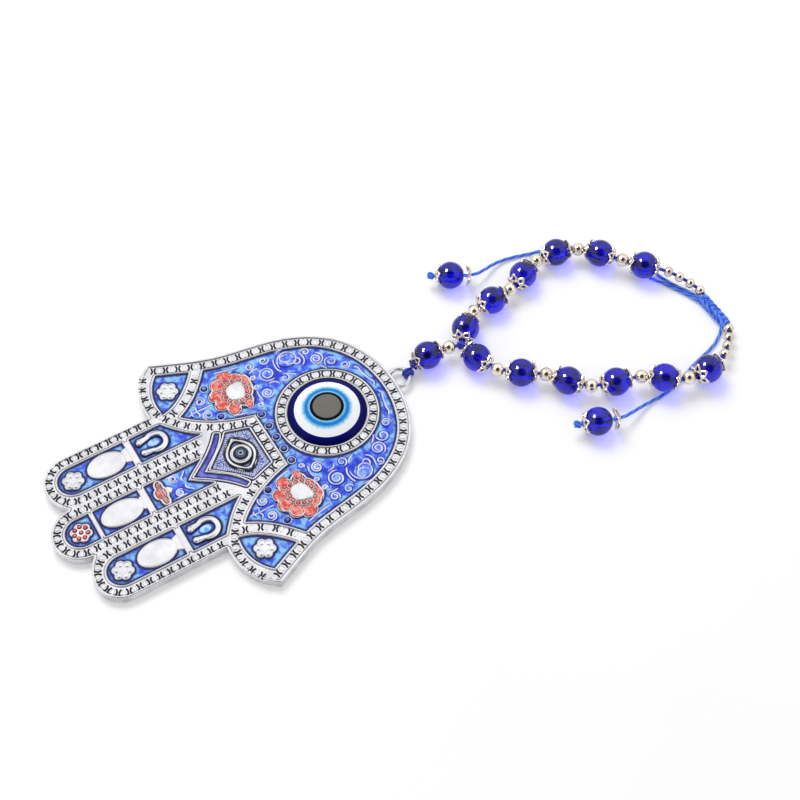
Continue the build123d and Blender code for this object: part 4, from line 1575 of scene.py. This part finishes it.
@dataclass
class EnamelCells:
    """The fired colour in every cell, a closed piece for each node."""

    palette: Palette
    hollow: float = 0.10
    climb: float = 0.5
    crease: float = 50.0
    row_share: float = 0.87
    clear_share: float = 0.55
    block: int = 800
    cells: tuple[Cell, ...] = (
        Cell("palm_enamel", "blue_enamel", "blue"),
        Cell("eye_field_enamel", "violet_enamel", "violet", 0.35),
        Cell("chevron_enamel", "blue_enamel", "chevron", 0.3),
        Cell("middle_finger_enamel", "blue_enamel", "blue", 0.3),
        Cell("right_finger_enamel", "blue_enamel", "blue", 0.35),
        Cell("left_finger_enamel", "blue_enamel", "blue", 0.35),
        Cell("right_thumb_enamel", "blue_enamel", "blue", 0.35),
        Cell("left_thumb_enamel", "blue_enamel", "blue", 0.35),
        Cell("right_flower_enamel", "red_enamel", "red", 0.35),
        Cell("left_flower_enamel", "red_enamel", "red", 0.35),
        Cell("finger_flower_enamel", "red_enamel", "red", 0.3),
    )

    def fill(self, cell: Cell) -> bpy.types.Object:
        """Fills one cell: a top that climbs at the metal, its sides and its floor.

        Args:
            cell: The cell.

        Returns:
            The piece, with each point's distance from the metal as the attribute "edge".
        """
        loops = [resampled(line, cell.step, True) for line in NodeMesh.of(cell.node).loops(ENAMEL_TOP)]
        border = np.vstack(loops)
        low, high = border.min(axis=0), border.max(axis=0)
        columns = np.arange(low[0], high[0], cell.step)
        rows = np.arange(low[1], high[1], cell.step * self.row_share)
        grid = np.array([(x + (row % 2) * cell.step / 2, y) for row, y in enumerate(rows) for x in columns])
        grid = grid[inside(grid, loops)]
        grid = grid[self.reach(grid, border) > self.clear_share * cell.step]
        edges, start = [], 0
        for line in loops:
            edges += [(start + step, start + (step + 1) % len(line)) for step in range(len(line))]
            start += len(line)
        done = delaunay_2d_cdt([Vector(point) for point in np.vstack([border, grid])], edges, [], 1, 1e-6)
        flat, triangles = np.array([vertex[:] for vertex in done[0]]), np.array(done[2])
        triangles = triangles[inside(flat[triangles].mean(axis=1), loops)]
        rim = self.reach(flat, border)
        height = ENAMEL_TOP - self.hollow * (1 - np.exp(-rim / self.climb)) + self.hollow / 2
        count = len(flat)
        under = np.full(count, FLOOR_OF_CELLS)
        points = np.vstack([np.column_stack([flat, height]), np.column_stack([flat, under])])
        top = [tuple(face) for face in triangles.tolist()]
        sides = dict.fromkeys(pair for a, b, c in top for pair in ((a, b), (b, c), (c, a)))
        open_sides = [(start, end) for start, end in sides if (end, start) not in sides]
        walls = [(end, start, start + count, end + count) for start, end in open_sides]
        floor = [(c + count, b + count, a + count) for a, b, c in top]
        shape = Shape()
        shape.join(points, top + walls + floor, np.concatenate([rim, rim]))
        piece = shape.piece(f"{cell.node}_fired", getattr(self.palette, cell.finish), self.crease)
        return finish_piece(piece, Body.HAND, cell.slot, cell.node)

    def reach(self, points: np.ndarray, border: np.ndarray) -> np.ndarray:
        """Each point's distance from a border, worked out in blocks."""
        blocks = [points[start : start + self.block, None] for start in range(0, len(points), self.block)]
        return np.concatenate([np.linalg.norm(block - border[None], axis=2).min(axis=1) for block in blocks])

    def build(self) -> None:
        """Fills every cell."""
        for cell in self.cells:
            self.fill(cell)


@dataclass
class CastBands:
    """The cast bands of pads and dark crescents, with a fine rim at both sides of each; the crescents' dark
    is oxide and painted shade.
    """

    palette: Palette
    border_inset: float = 2.15
    border_pitch: float = 3.42
    collar_pitch: float = 3.13
    finger_pitch: float = 2.9
    crescent: dict[str, float] = field(default_factory=lambda: {"bend": 1.4, "wire": 0.26, "apart": 0.31})
    crescent_lift: float = 0.06
    pad: dict[str, float] = field(default_factory=lambda: {"length": 0.5, "width": 1.05, "height": 0.1})
    across: tuple[str, ...] = ("bend", "length", "width")
    ring_radius: float = 12.78
    ring_marks: int = 25
    ring_size: float = 0.9
    ring_rims: tuple[float, float] = (11.42, 14.12)
    ring_grooves: tuple[float, float] = (11.76, 13.8)
    outline_rim: tuple[float, float, float] = (0.36, 0.34, 0.18)
    outline_groove: tuple[float, float, float] = (0.84, 0.08, 0.1)
    cell_rim: tuple[float, float, float] = (-0.27, 0.24, 0.18)
    cell_groove: tuple[float, float, float] = (-0.64, 0.07, 0.1)
    cell_dark_line: tuple[float, float, float] = (-0.66, 0.2, 0.12)
    finger_ends: tuple[tuple[float, float, float, float, float], ...] = (
        (15.6, -69.2, 6.45, -44.2, -35.9),
        (0.0, -73.9, 6.25, -37.2, -37.2),
    )
    top_bar: tuple[tuple[float, float], ...] = ((-6.7, -19.15), (0.0, -19.15), (6.7, -19.15))
    collar: tuple[tuple[float, float], ...] = (
        (8.35, -21.4), (9.5, -24.7), (10.7, -27.5), (12.2, -30.4), (13.9, -33.1), (16.0, -35.6),
        (18.4, -37.8), (20.9, -39.6), (24.0, -41.0), (27.0, -41.6), (30.0, -41.4), (33.0, -40.6),
        (35.4, -39.2),
    )
    crossing: tuple[tuple[float, float], ...] = (
        (21.2, -36.6), (22.2, -33.6), (23.7, -31.0), (25.6, -28.8), (28.0, -26.9),
    )
    thumbs_over: float = -35.4
    palm_middle: float = -20.0
    dark_lined: tuple[str, ...] = ("eye_field_enamel", "chevron_enamel")

    def finger_line(self, end: tuple[float, float, float, float, float]) -> np.ndarray:
        """The line down one side of a finger, round its tip and up the other side.

        Args:
            end: The tip's middle across and along, its radius, and where the outer and inner sides start.

        Returns:
            The line.
        """
        across, along, radius, outer, inner = end
        tip = np.array([across, along]) + radius * half_turn(30)
        return np.vstack([[[across + radius, outer]], tip, [[across - radius, inner]]])

    def outline(self, step: float) -> np.ndarray:
        """The plate's outline, walked at even steps."""
        loops = NodeMesh.of("hand_plate").loops(PLATE_TOP)
        return resampled(max(loops, key=lambda line: np.ptp(line[:, 1])), step, True)

    def border_line(self) -> np.ndarray:
        """The middle of the border band, from one thumb tip over the palm to the other."""
        line = shifted(self.outline(0.3), self.border_inset)
        line = line[line[:, 1] > self.thumbs_over]
        turn = np.arctan2(line[:, 0], line[:, 1] - self.palm_middle)
        return line[np.argsort(turn)]

    def lines(self) -> list[tuple[str, list[np.ndarray], bool, float, float]]:
        """Every band: its name, its lines, whether they are closed, the pitch of its marks and their size."""
        side, middle = self.finger_ends
        collar, crossing = (smoothed(np.array(line), 2) for line in (self.collar, self.crossing))
        finger = self.finger_line(side)
        collars = [collar, mirrored(collar), crossing, mirrored(crossing), np.array(self.top_bar)]
        bands = []
        for name, lines, pitch in (
            ("border", [self.border_line()], self.border_pitch),
            ("collar", collars, self.collar_pitch),
            ("finger", [finger, mirrored(finger), self.finger_line(middle)], self.finger_pitch),
        ):
            bands.append((name, [resampled(line, 0.4, False) for line in lines], False, pitch, 1.0))
        round_eye, pitch = ring((0.0, 0.0), self.ring_radius, 120), tau * self.ring_radius / self.ring_marks
        return [*bands, ("eye_ring", [round_eye], True, pitch, self.ring_size)]

    def rows(self) -> None:
        """Sets the pads and the crescents along the bands."""
        kinds = (
            ("pads", PadRow(), self.palette.polished, self.pad, 0.0),
            ("hooks", TickRow(), self.palette.oxide, self.crescent, self.crescent_lift),
        )
        for name, lines, closed, pitch, size in self.lines():
            for kind, tree, finish, given, lift in kinds:
                sizes = {key: value * MM for key, value in given.items()}
                sizes.update({key: sizes[key] * size for key in self.across if key in sizes})
                source = lines_object(f"{name}_lines", lines, closed, PLATE_TOP + lift)
                piece = tree.run(f"{name}_{kind}", source, finish, pitch=pitch * MM, **sizes)
                finish_piece(piece, Body.HAND, "cast_silver")

    def rims(self) -> None:
        """Rolls a fine rim along the outline and round every cell, with a shaded groove inside it."""
        rims, grooves, navy = Shape(), Shape(), Shape()
        edge = self.outline(0.35)
        jobs = [(rims, edge, self.outline_rim), (grooves, edge, self.outline_groove)]
        for node in (cell.node for cell in EnamelCells.cells if "flower" not in cell.node):
            for line in NodeMesh.of(node).loops(ENAMEL_TOP):
                even = resampled(line, 0.3, True)
                jobs.append((rims, even, self.cell_rim))
                if node in self.dark_lined:
                    jobs.append((navy, even, self.cell_dark_line))
                else:
                    jobs.append((grooves, even, self.cell_groove))
        for shape, line, (aside, half, rise) in jobs:
            wire(shape, shifted(line, aside), PLATE_TOP, half, rise, True)
        for radius in self.ring_rims:
            wire(rims, ring((0.0, 0.0), radius, 110), PLATE_TOP, 0.24, 0.2, True)
        for radius in self.ring_grooves:
            wire(grooves, ring((0.0, 0.0), radius, 110), PLATE_TOP, 0.08, 0.1, True)
        finish_piece(rims.piece("cast_rims", self.palette.polished), Body.HAND, "cast_silver")
        finish_piece(grooves.piece("rim_grooves", self.palette.groove), Body.HAND, "cast_silver")
        finish_piece(navy.piece("chevron_dark_lines", self.palette.navy_spot), Body.HAND, "blue_enamel")

    def build(self) -> None:
        """Builds the bands."""
        frame["nodes"]["hand_plate"].material_slots[0].material = self.palette.cast
        self.rims()
        self.rows()


@dataclass
class Relief:
    """Scrolls, flowers, rosettes, ovals, horseshoes and the small cast eye."""

    palette: Palette
    scroll_half: float = 0.26
    scroll_rise: float = 0.34
    scroll_sunk: float = 0.04
    shade_aside: float = -0.31
    coil_depth: float = 0.72
    spirals: tuple[tuple[float, float, float, float, float], ...] = (
        (21.0, -0.7, 3.7, 1.1, 250.0), (22.3, -1.6, 2.1, 0.8, 120.0), (19.4, 0.9, 1.4, 1.0, 20.0),
        (17.3, 6.1, 2.15, 1.9, 20.0), (14.4, 9.3, 2.0, 1.15, 250.0), (11.3, 12.2, 1.4, 1.6, 60.0),
        (21.0, 4.6, 1.3, 1.3, 300.0), (19.8, -8.2, 2.55, 1.9, 150.0), (24.5, -11.4, 1.45, 1.5, 30.0),
        (14.1, -11.1, 1.75, 1.9, 100.0), (16.0, -4.5, 1.5, 1.2, 0.0), (24.3, -7.0, 1.5, 1.1, 90.0),
        (21.0, -28.6, 1.5, 1.7, 330.0), (15.9, -28.6, 1.5, 1.7, 210.0), (20.7, -12.4, 0.9, 1.2, 45.0),
        (11.6, -14.6, 0.95, 1.3, 20.0), (2.35, -46.2, 1.3, 1.6, 120.0), (17.3, -12.8, 0.8, 1.2, 200.0),
    )
    waves: tuple[tuple[tuple[float, float], ...], ...] = (
        ((0.9, 15.7), (2.2, 16.3), (3.6, 15.6), (5.2, 15.2), (7.0, 14.7), (8.6, 14.9), (9.6, 13.9)),
        ((17.4, 1.9), (18.2, 3.0), (19.9, 3.4), (21.9, 2.9)), ((24.6, 1.5), (25.2, -0.6), (25.0, -3.0)),
        ((15.6, -1.0), (16.2, -2.4), (17.4, -3.2)), ((18.2, -4.3), (19.9, -5.2), (22.0, -5.0), (23.4, -4.4)),
        ((15.2, -6.6), (16.6, -7.4), (16.7, -9.3)), ((22.6, -9.4), (23.0, -10.8), (22.4, -12.6)),
        ((12.4, -13.2), (14.6, -13.6), (16.3, -13.2)),
        ((18.5, -26.4), (18.4, -29.0), (18.6, -31.4), (18.2, -33.6)),
        ((18.6, -31.0), (19.8, -30.4), (20.5, -31.2)), ((18.4, -31.0), (17.2, -30.4), (16.5, -31.2)),
        ((18.4, -32.6), (19.3, -32.0)), ((18.4, -32.6), (17.4, -32.2)),
        ((12.8, 7.2), (14.0, 6.6), (15.0, 5.4)),
        ((0.5, -43.8), (1.6, -44.2), (2.4, -43.2), (3.4, -42.4)), ((3.5, -44.6), (3.4, -46.2), (3.5, -47.8)),
        ((26.0, -13.8), (26.4, -16.4), (27.0, -18.8), (27.6, -21.2)),
        ((11.0, -18.2), (11.4, -20.6), (12.2, -22.8)),
    )
    beds: tuple[tuple[float, float, float], ...] = (
        (21.6, -1.1, 2.9), (19.8, -8.2, 1.9), (14.4, 9.3, 1.5), (17.3, 6.1, 1.5),
        (14.1, -11.1, 1.1), (24.5, -11.4, 0.9), (16.0, -4.5, 1.0), (21.0, 4.6, 0.8),
    )
    domes: tuple[tuple[float, float], ...] = (
        (0.0, -15.9), (4.3, -15.9), (-4.3, -15.9), (8.6, -15.9), (-8.6, -15.9),
        (24.3, -25.7), (-24.3, -25.7), (13.7, -25.8), (-13.7, -25.8),
    )
    heart: tuple[tuple[float, float], ...] = (
        (16.1, -17.2), (17.9, -16.1), (20.9, -15.7), (21.8, -16.6), (21.7, -19.4), (20.6, -21.0),
        (17.9, -21.3), (16.1, -20.3), (15.8, -18.8),
    )
    petals: tuple[tuple[float, float, float, float, float], ...] = (
        (17.4, -15.2, 1.25, 0.75, 25.0), (21.1, -14.6, 2.2, 0.95, -8.0), (23.2, -16.7, 1.5, 1.0, -70.0),
        (24.9, -19.2, 1.9, 1.5, -80.0), (23.2, -22.3, 1.7, 1.75, 45.0), (20.1, -24.0, 1.65, 1.8, 0.0),
        (16.8, -23.8, 1.65, 1.75, 0.0), (14.0, -21.4, 1.65, 1.6, 30.0),
    )
    point: tuple[tuple[float, float], ...] = (
        (11.5, -17.3), (12.8, -16.0), (14.6, -15.6), (15.3, -16.6), (14.8, -18.0), (13.1, -18.2),
    )
    petal_growth: float = 0.3
    crown_count: int = 13
    crown_turn: float = 0.2
    crown_gap: float = 0.55
    crown_petal: tuple[float, float] = (0.72, 0.8)
    crown_lift: float = 0.14
    finger_petals: tuple[tuple[float, float, float, float], ...] = (
        (0.0, -49.3, 1.8, 0.42), (0.0, -50.2, 1.6, 0.36), (0.0, -51.4, 2.0, 0.8),
        (2.95, -49.9, 1.1, 0.55), (-2.95, -49.9, 1.1, 0.55),
    )
    diamond: tuple[tuple[float, float], ...] = ((1.5, -48.7), (0.0, -47.2), (-1.5, -48.7), (0.0, -48.95))
    rosettes: tuple[tuple[float, float], ...] = ((28.7, -34.8), (15.6, -69.2), (0.0, -73.9))
    tip_dots: tuple[tuple[float, float], ...] = (
        (0.0, 0.0), (-0.8, 1.55), (0.8, 1.55), (1.75, 0.3), (1.35, -1.2), (0.0, -1.85), (-1.35, -1.2),
        (-1.75, 0.3),
    )
    petal_turns: tuple[float, ...] = tuple(turns_of(6))
    ovals: tuple[tuple[float, float, float, float], ...] = (
        (15.6, -59.4, 3.68, 5.38), (0.0, -62.0, 3.68, 5.88),
    )
    bridge: tuple[tuple[float, float], ...] = ((-2.0, -0.38), (2.0, -0.38), (2.7, 1.52), (-2.7, 1.52))
    shoe: tuple[tuple[float, float], ...] = (
        (17.35, -49.0), (17.75, -47.4), (18.15, -45.6), (18.0, -43.7), (17.0, -42.3), (15.6, -41.8),
    )
    shoe_middle: float = 15.6
    shoe_half: float = 0.62
    bars: tuple[tuple[float, float, float, float], ...] = (
        (15.6, -51.9, 4.2, 0.75), (0.0, -54.9, 4.2, 0.75), (0.0, -69.45, 4.2, 0.45),
    )
    small_eye: tuple[float, float] = (0.0, -26.8)
    stroke: dict[str, float] = field(
        default_factory=lambda: {"pitch": 0.62, "length": 0.13, "width": 0.5, "height": 0.2}
    )

    def hand(self, shape: Shape, name: str, finish: bpy.types.Material, slot: str = "cast_silver") -> None:
        """Hands a finished shape to the frame as a piece of the hand."""
        finish_piece(shape.piece(name, finish), Body.HAND, slot)

    def both(self, outline: np.ndarray, middle: bool = False) -> list[np.ndarray]:
        """A closed outline and its mirror image, or the outline alone on the middle line."""
        return [outline] if middle else [outline, mirrored(outline)[::-1]]

    def spiral(self, middle: tuple[float, float], radius: float, turns: float, start: float) -> np.ndarray:
        """A scroll that winds in towards its middle."""
        steps = np.linspace(0.0, 1.0, max(14, int(26 * turns)))
        angle = radians(start) + steps * turns * tau
        out = radius * (1 - self.coil_depth * steps**0.85)
        return np.stack([middle[0] + out * np.cos(angle), middle[1] + out * np.sin(angle)], axis=1)

    def scrolls(self) -> None:
        """Lays the scrolls and the wavy tendrils on the enamel, each with a painted shadow line along it."""
        pale, dark, beds = Shape(), Shape(), Shape()
        lines = [self.spiral((x, y), radius, turns, start) for x, y, radius, turns, start in self.spirals]
        lines += [resampled(smoothed(np.array(wave), 2), 0.3, False) for wave in self.waves]
        base, half, rise = ENAMEL_TOP - self.scroll_sunk, self.scroll_half, self.scroll_rise
        for line in lines:
            for one in (line, mirrored(line)):
                wire(pale, one, base, half, rise, False)
                wire(dark, shifted(one, self.shade_aside, False), base, half * 0.8, rise * 0.5, False)
        for x, y, radius in self.beds:
            for one in self.both(ring((x, y), radius, 30)):
                crowned(beds, one, ENAMEL_TOP, 0.14, 3)
        self.hand(pale, "palm_scrolls", self.palette.line_silver)
        self.hand(dark, "scroll_shade_lines", self.palette.bed, "blue_enamel")
        self.hand(beds, "scroll_beds", self.palette.bed, "blue_enamel")

    def dark_domes(self) -> None:
        """Sets the blue domes in their silver rings."""
        rings, spots = Shape(), Shape()
        for place in self.domes:
            wire(rings, ring(place, 1.1, 26), ENAMEL_TOP - 0.02, 0.13, 0.2, True)
            crowned(spots, ring(place, 0.98, 22), ENAMEL_TOP, 0.5, 3)
        self.hand(rings, "dome_rings", self.palette.line_silver)
        self.hand(spots, "blue_domes", self.palette.navy_spot, "blue_enamel")

    def softened(self, outline: tuple[tuple[float, float], ...], rounds: int, step: float) -> np.ndarray:
        """A closed outline with its corners cut, turned anticlockwise and walked at even steps."""
        return resampled(smoothed(np.array([*outline, outline[0]]), rounds)[:-1], step, True)[::-1]

    def palm_flowers(self) -> None:
        """Builds both palm flowers: outer petals, an inner crown and a square heart."""
        petals, lines, hearts = Shape(), Shape(), Shape()
        heart = self.softened(self.heart, 2, 0.35)
        middle, grown = heart.mean(axis=0), self.petal_growth
        forms = []
        for x, y, half, high, turn in self.petals:
            forms.append((oval((x, y), (half + grown, high + grown), radians(turn), 28), 0.0))
        forms.append((self.softened(self.point, 1, 0.4), 0.0))
        for angle in turns_of(self.crown_count) + self.crown_turn:
            way = np.array([cos(angle), sin(angle)])
            reach = (heart - middle).dot(way).max() + self.crown_gap
            forms.append((oval(middle + way * reach, self.crown_petal, angle, 16), self.crown_lift))
        for form, lift in forms:
            for outline in self.both(form):
                crowned(petals, outline, PLATE_TOP + lift, 0.24, 4)
                wire(lines, outline, PLATE_TOP + lift, 0.13, 0.17, True)
        for outline in self.both(heart):
            crowned(hearts, outline, PLATE_TOP + self.crown_lift, 0.36, 4)
        self.hand(petals, "palm_petals", self.palette.red, "red_enamel")
        self.hand(lines, "palm_petal_lines", self.palette.polished)
        self.hand(hearts, "palm_flower_hearts", self.palette.polished)

    def finger_flower(self) -> None:
        """Builds the small flower across the middle finger, under its cast diamond."""
        petals, lines = Shape(), Shape()
        for x, y, half, high in self.finger_petals:
            form = oval((x, y), (half, high))
            crowned(petals, form, ENAMEL_TOP, 0.3, 3)
            wire(lines, form, ENAMEL_TOP + 0.02, 0.1, 0.24, True)
        crowned(lines, np.array(self.diamond), ENAMEL_TOP, 0.35, 3)
        self.hand(petals, "finger_petals", self.palette.red, "red_enamel")
        self.hand(lines, "finger_petal_lines", self.palette.polished)

    def rosette_forms(self) -> None:
        """Crowns the rosettes with petals and a heart, and the middle tip with dots."""
        shape, dots = Shape(), Shape()
        lobes = len(self.petal_turns)
        scalloped = ring((0.0, 0.0), 1.0, 64) * (2.72 + 0.2 * np.cos(lobes * turns_of(64)))[:, None]
        for x, y in self.rosettes:
            for outline in self.both(scalloped + [x, y], x == 0):
                crowned(shape, outline, PLATE_TOP, 0.16, 4)
                for angle in self.petal_turns if x else ():
                    petal = outline.mean(axis=0) + 1.75 * np.array([cos(angle), sin(angle)])
                    crowned(shape, ring(petal, 0.82, 18), PLATE_TOP + 0.1, 0.2, 3)
        x, y = self.rosettes[-1]
        for across, along in self.tip_dots:
            crowned(dots, ring((x + across, y + along), 0.68, 18), PLATE_TOP + 0.13, 0.26, 4)
        self.ovals_and_bars(shape)
        self.hand(shape, "finger_relief", self.palette.polished)
        self.hand(dots, "middle_tip_dots", self.palette.red, "red_enamel")

    def ovals_and_bars(self, shape: Shape) -> None:
        """Adds the fingers' ovals, their bridges to the bars, and the bars with soft corners."""
        for x, y, half, high in self.ovals:
            for outline in self.both(oval((x, y), (half, high), count=64), x == 0):
                crowned(shape, outline, PLATE_TOP, 0.36, 6)
            bridge = resampled(np.array(self.bridge) + [x, y + high], 0.4, True)
            for outline in self.both(bridge, x == 0):
                crowned(shape, outline, ENAMEL_TOP + 0.1, 0.16, 3)
        circle = ring((0, 0), 1.0, 40)
        square = np.sign(circle) * np.abs(circle) ** 0.3
        for x, y, half, high in self.bars:
            for outline in self.both(square * [half, high] + [x, y], x == 0):
                crowned(shape, outline, PLATE_TOP, 0.2, 3)

    def horseshoes(self) -> None:
        """Builds the horseshoes, each between two dark lines, with a blue drop inside whose pale azure is
        partly a painted highlight.
        """
        shoes, drops, lines = Shape(), Shape(), Shape()
        half = np.array(self.shoe)
        left = (half * [-1, 1] + [2 * self.shoe_middle, 0])[::-1]
        line = resampled(smoothed(np.vstack([half, left[1:]]), 3), 0.3, False)
        for one in (line, mirrored(line)):
            wire(lines, one, PLATE_TOP, self.shoe_half + 0.5, 0.1, False)
            wire(shoes, one, PLATE_TOP + 0.06, self.shoe_half, 0.18, False)
            for end in (one[0], one[-1]):
                crowned(lines, ring(tuple(end), self.shoe_half + 0.66, 24), PLATE_TOP, 0.1, 3)
                crowned(shoes, ring(tuple(end), self.shoe_half + 0.16, 20), PLATE_TOP + 0.08, 0.3, 3)
        for one in self.both(oval((self.shoe_middle, -45.4), (1.35, 2.1))):
            crowned(drops, one, ENAMEL_TOP, 0.34, 5)
        self.hand(shoes, "horseshoes", self.palette.polished)
        self.hand(drops, "horseshoe_drops", self.palette.azure_spot, "blue_enamel")
        self.hand(lines, "horseshoe_lines", self.palette.navy_spot, "blue_enamel")

    def small_cast_eye(self) -> None:
        """Builds the small eye: lids, rings and a domed middle, and the strokes round its field."""
        silver, dark, slate = Shape(), Shape(), Shape()
        x, y = self.small_eye
        turns = np.linspace(-1, 1, 34)[:-1]
        for half, high, form, thick in (
            (5.9, 4.2, dark, 0.3), (5.25, 3.66, silver, 0.34), (4.6, 3.15, dark, 0.14),
        ):
            over = np.stack([x + half * turns, y + high * (1 - turns**2)], axis=1)
            lid = np.vstack([over, (over * [1, -1] + [0, 2 * y])[::-1] + [1e-3, 0]])
            wire(form, resampled(lid, 0.3, True), PLATE_TOP, thick, 0.22, True)
        # The widest dark ring round the eye's middle is oxide and painted shade
        for radius, form, half, lift in (
            (2.9, dark, 0.52, 0.05), (2.3, silver, 0.24, 0.34), (1.85, slate, 0.3, 0.36),
            (1.45, dark, 0.16, 0.6), (0.95, dark, 0.12, 0.8),
        ):
            wire(form, ring((x, y), radius, 44), PLATE_TOP + lift, half, 0.2, True)
        crowned(slate, ring((x, y), 1.3, 28), PLATE_TOP + 0.7, 0.2, 4)
        crowned(dark, ring((x, y), 0.5, 16), PLATE_TOP + 0.82, 0.16, 3)
        self.hand(silver, "small_eye_lids", self.palette.polished)
        self.hand(dark, "small_eye_dark_rings", self.palette.oxide)
        self.hand(slate, "small_eye_blue_rings", self.palette.slate, "violet_enamel")
        loops = NodeMesh.of("eye_field_enamel").loops(ENAMEL_TOP)
        outer = max(loops, key=lambda loop: np.ptp(loop[:, 0]))
        lines = [shifted(resampled(outer, 0.3, True), 0.85)]
        source = lines_object("field_stroke_lines", lines, True, ENAMEL_TOP)
        sizes = {key: value * MM for key, value in self.stroke.items()}
        piece = PadRow().run("eye_field_strokes", source, self.palette.line_silver, **sizes)
        finish_piece(piece, Body.HAND, "cast_silver")

    def build(self) -> None:
        """Builds all the relief."""
        self.scrolls()
        self.dark_domes()
        self.palm_flowers()
        self.finger_flower()
        self.rosette_forms()
        self.horseshoes()
        self.small_cast_eye()


@dataclass
class GlassEye:
    """The fused glass of the large eye: four layers whose tops lie on one dome."""

    dome: float = 21.72
    dome_middle: float = -15.92
    floor: float = FLOOR_OF_CELLS
    step: float = 0.4
    gap: float = 0.02
    crease: float = 35.0
    layers: tuple[tuple[str, str, float, tuple[tuple[float, str], ...], float, float], ...] = (
        (
            "eye_navy_glass", "navy_glass", 11.08,
            # Painted shade: the navy darkens towards its outer edge
            ((9.0, "0f1180"), (10.0, "090b5e"), (11.0, "07083a")), 0.2, 5.0,
        ),
        (
            "eye_white_glass", "white_glass", 9.1,
            ((6.0, "3a94e0"), (6.5, "7cc2f0"), (6.95, "d4ecfb"), (7.3, "f8fafc"), (9.1, "f8fafc")), 1.1, 12.0,
        ),
        (
            "eye_blue_glass", "light_blue_glass", 6.1,
            ((4.7, "8accf2"), (5.1, "6ab8ec"), (5.5, "1c78cc"), (6.0, "2888d8")), 0.5, 9.0,
        ),
        (
            "eye_pupil_glass", "dark_glass", 4.7,
            # Painted reflection: the pale grey middle of the pupil, out to 3.8 mm
            ((3.8, "75726c"), (3.95, "101015"), (4.7, "06060a")), 0.08, 5.0,
        ),
    )

    def up(self, out: float) -> float:
        """The dome's height at a distance from the middle."""
        return self.dome_middle + (self.dome**2 - out**2) ** 0.5

    def profile(self, number: int) -> list[tuple[float, float]]:
        """One layer's profile: its floor, its side, its top and the hollow that holds the next layer."""
        wide = self.layers[number][2]
        low = self.floor + number * self.step + (self.gap if number else 0.0)
        last = number + 1 == len(self.layers)
        inner = 0.0 if last else self.layers[number + 1][2] + self.gap
        line = [(0.0, low), (wide - 0.05, low), (wide, low + 0.05)]
        line += [(out, self.up(out)) for out in np.linspace(wide, inner, 9 if last else 6)]
        under = low + self.step - self.gap
        return line if last else [*line, (inner, under), (0.0, under)]

    def build(self) -> None:
        """Turns each layer and hands it over."""
        for number, (node, slot, _, stops, feather, rays) in enumerate(self.layers):
            shape = Shape()
            shape.join(*lathed(self.profile(number), 96))
            glass = EyeGlass(f"{node}_fused", stops, feather, rays).material()
            finish_piece(shape.piece(f"{node}_layer", glass, self.crease), Body.HAND, slot, node)


def main() -> None:
    """Builds the studio, the hand and the string, and reports each piece."""
    logging.basicConfig(level=logging.INFO, format="%(name)s: %(message)s")
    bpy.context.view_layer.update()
    studio = Studio()
    studio.build()
    palette = Palette()
    BeadString(palette).build()
    EnamelCells(palette).build()
    CastBands(palette).build()
    Relief(palette).build()
    GlassEye().build()
    studio.shine_on((palette.bead, palette.findings))


if __name__ == "__main__":
    main()
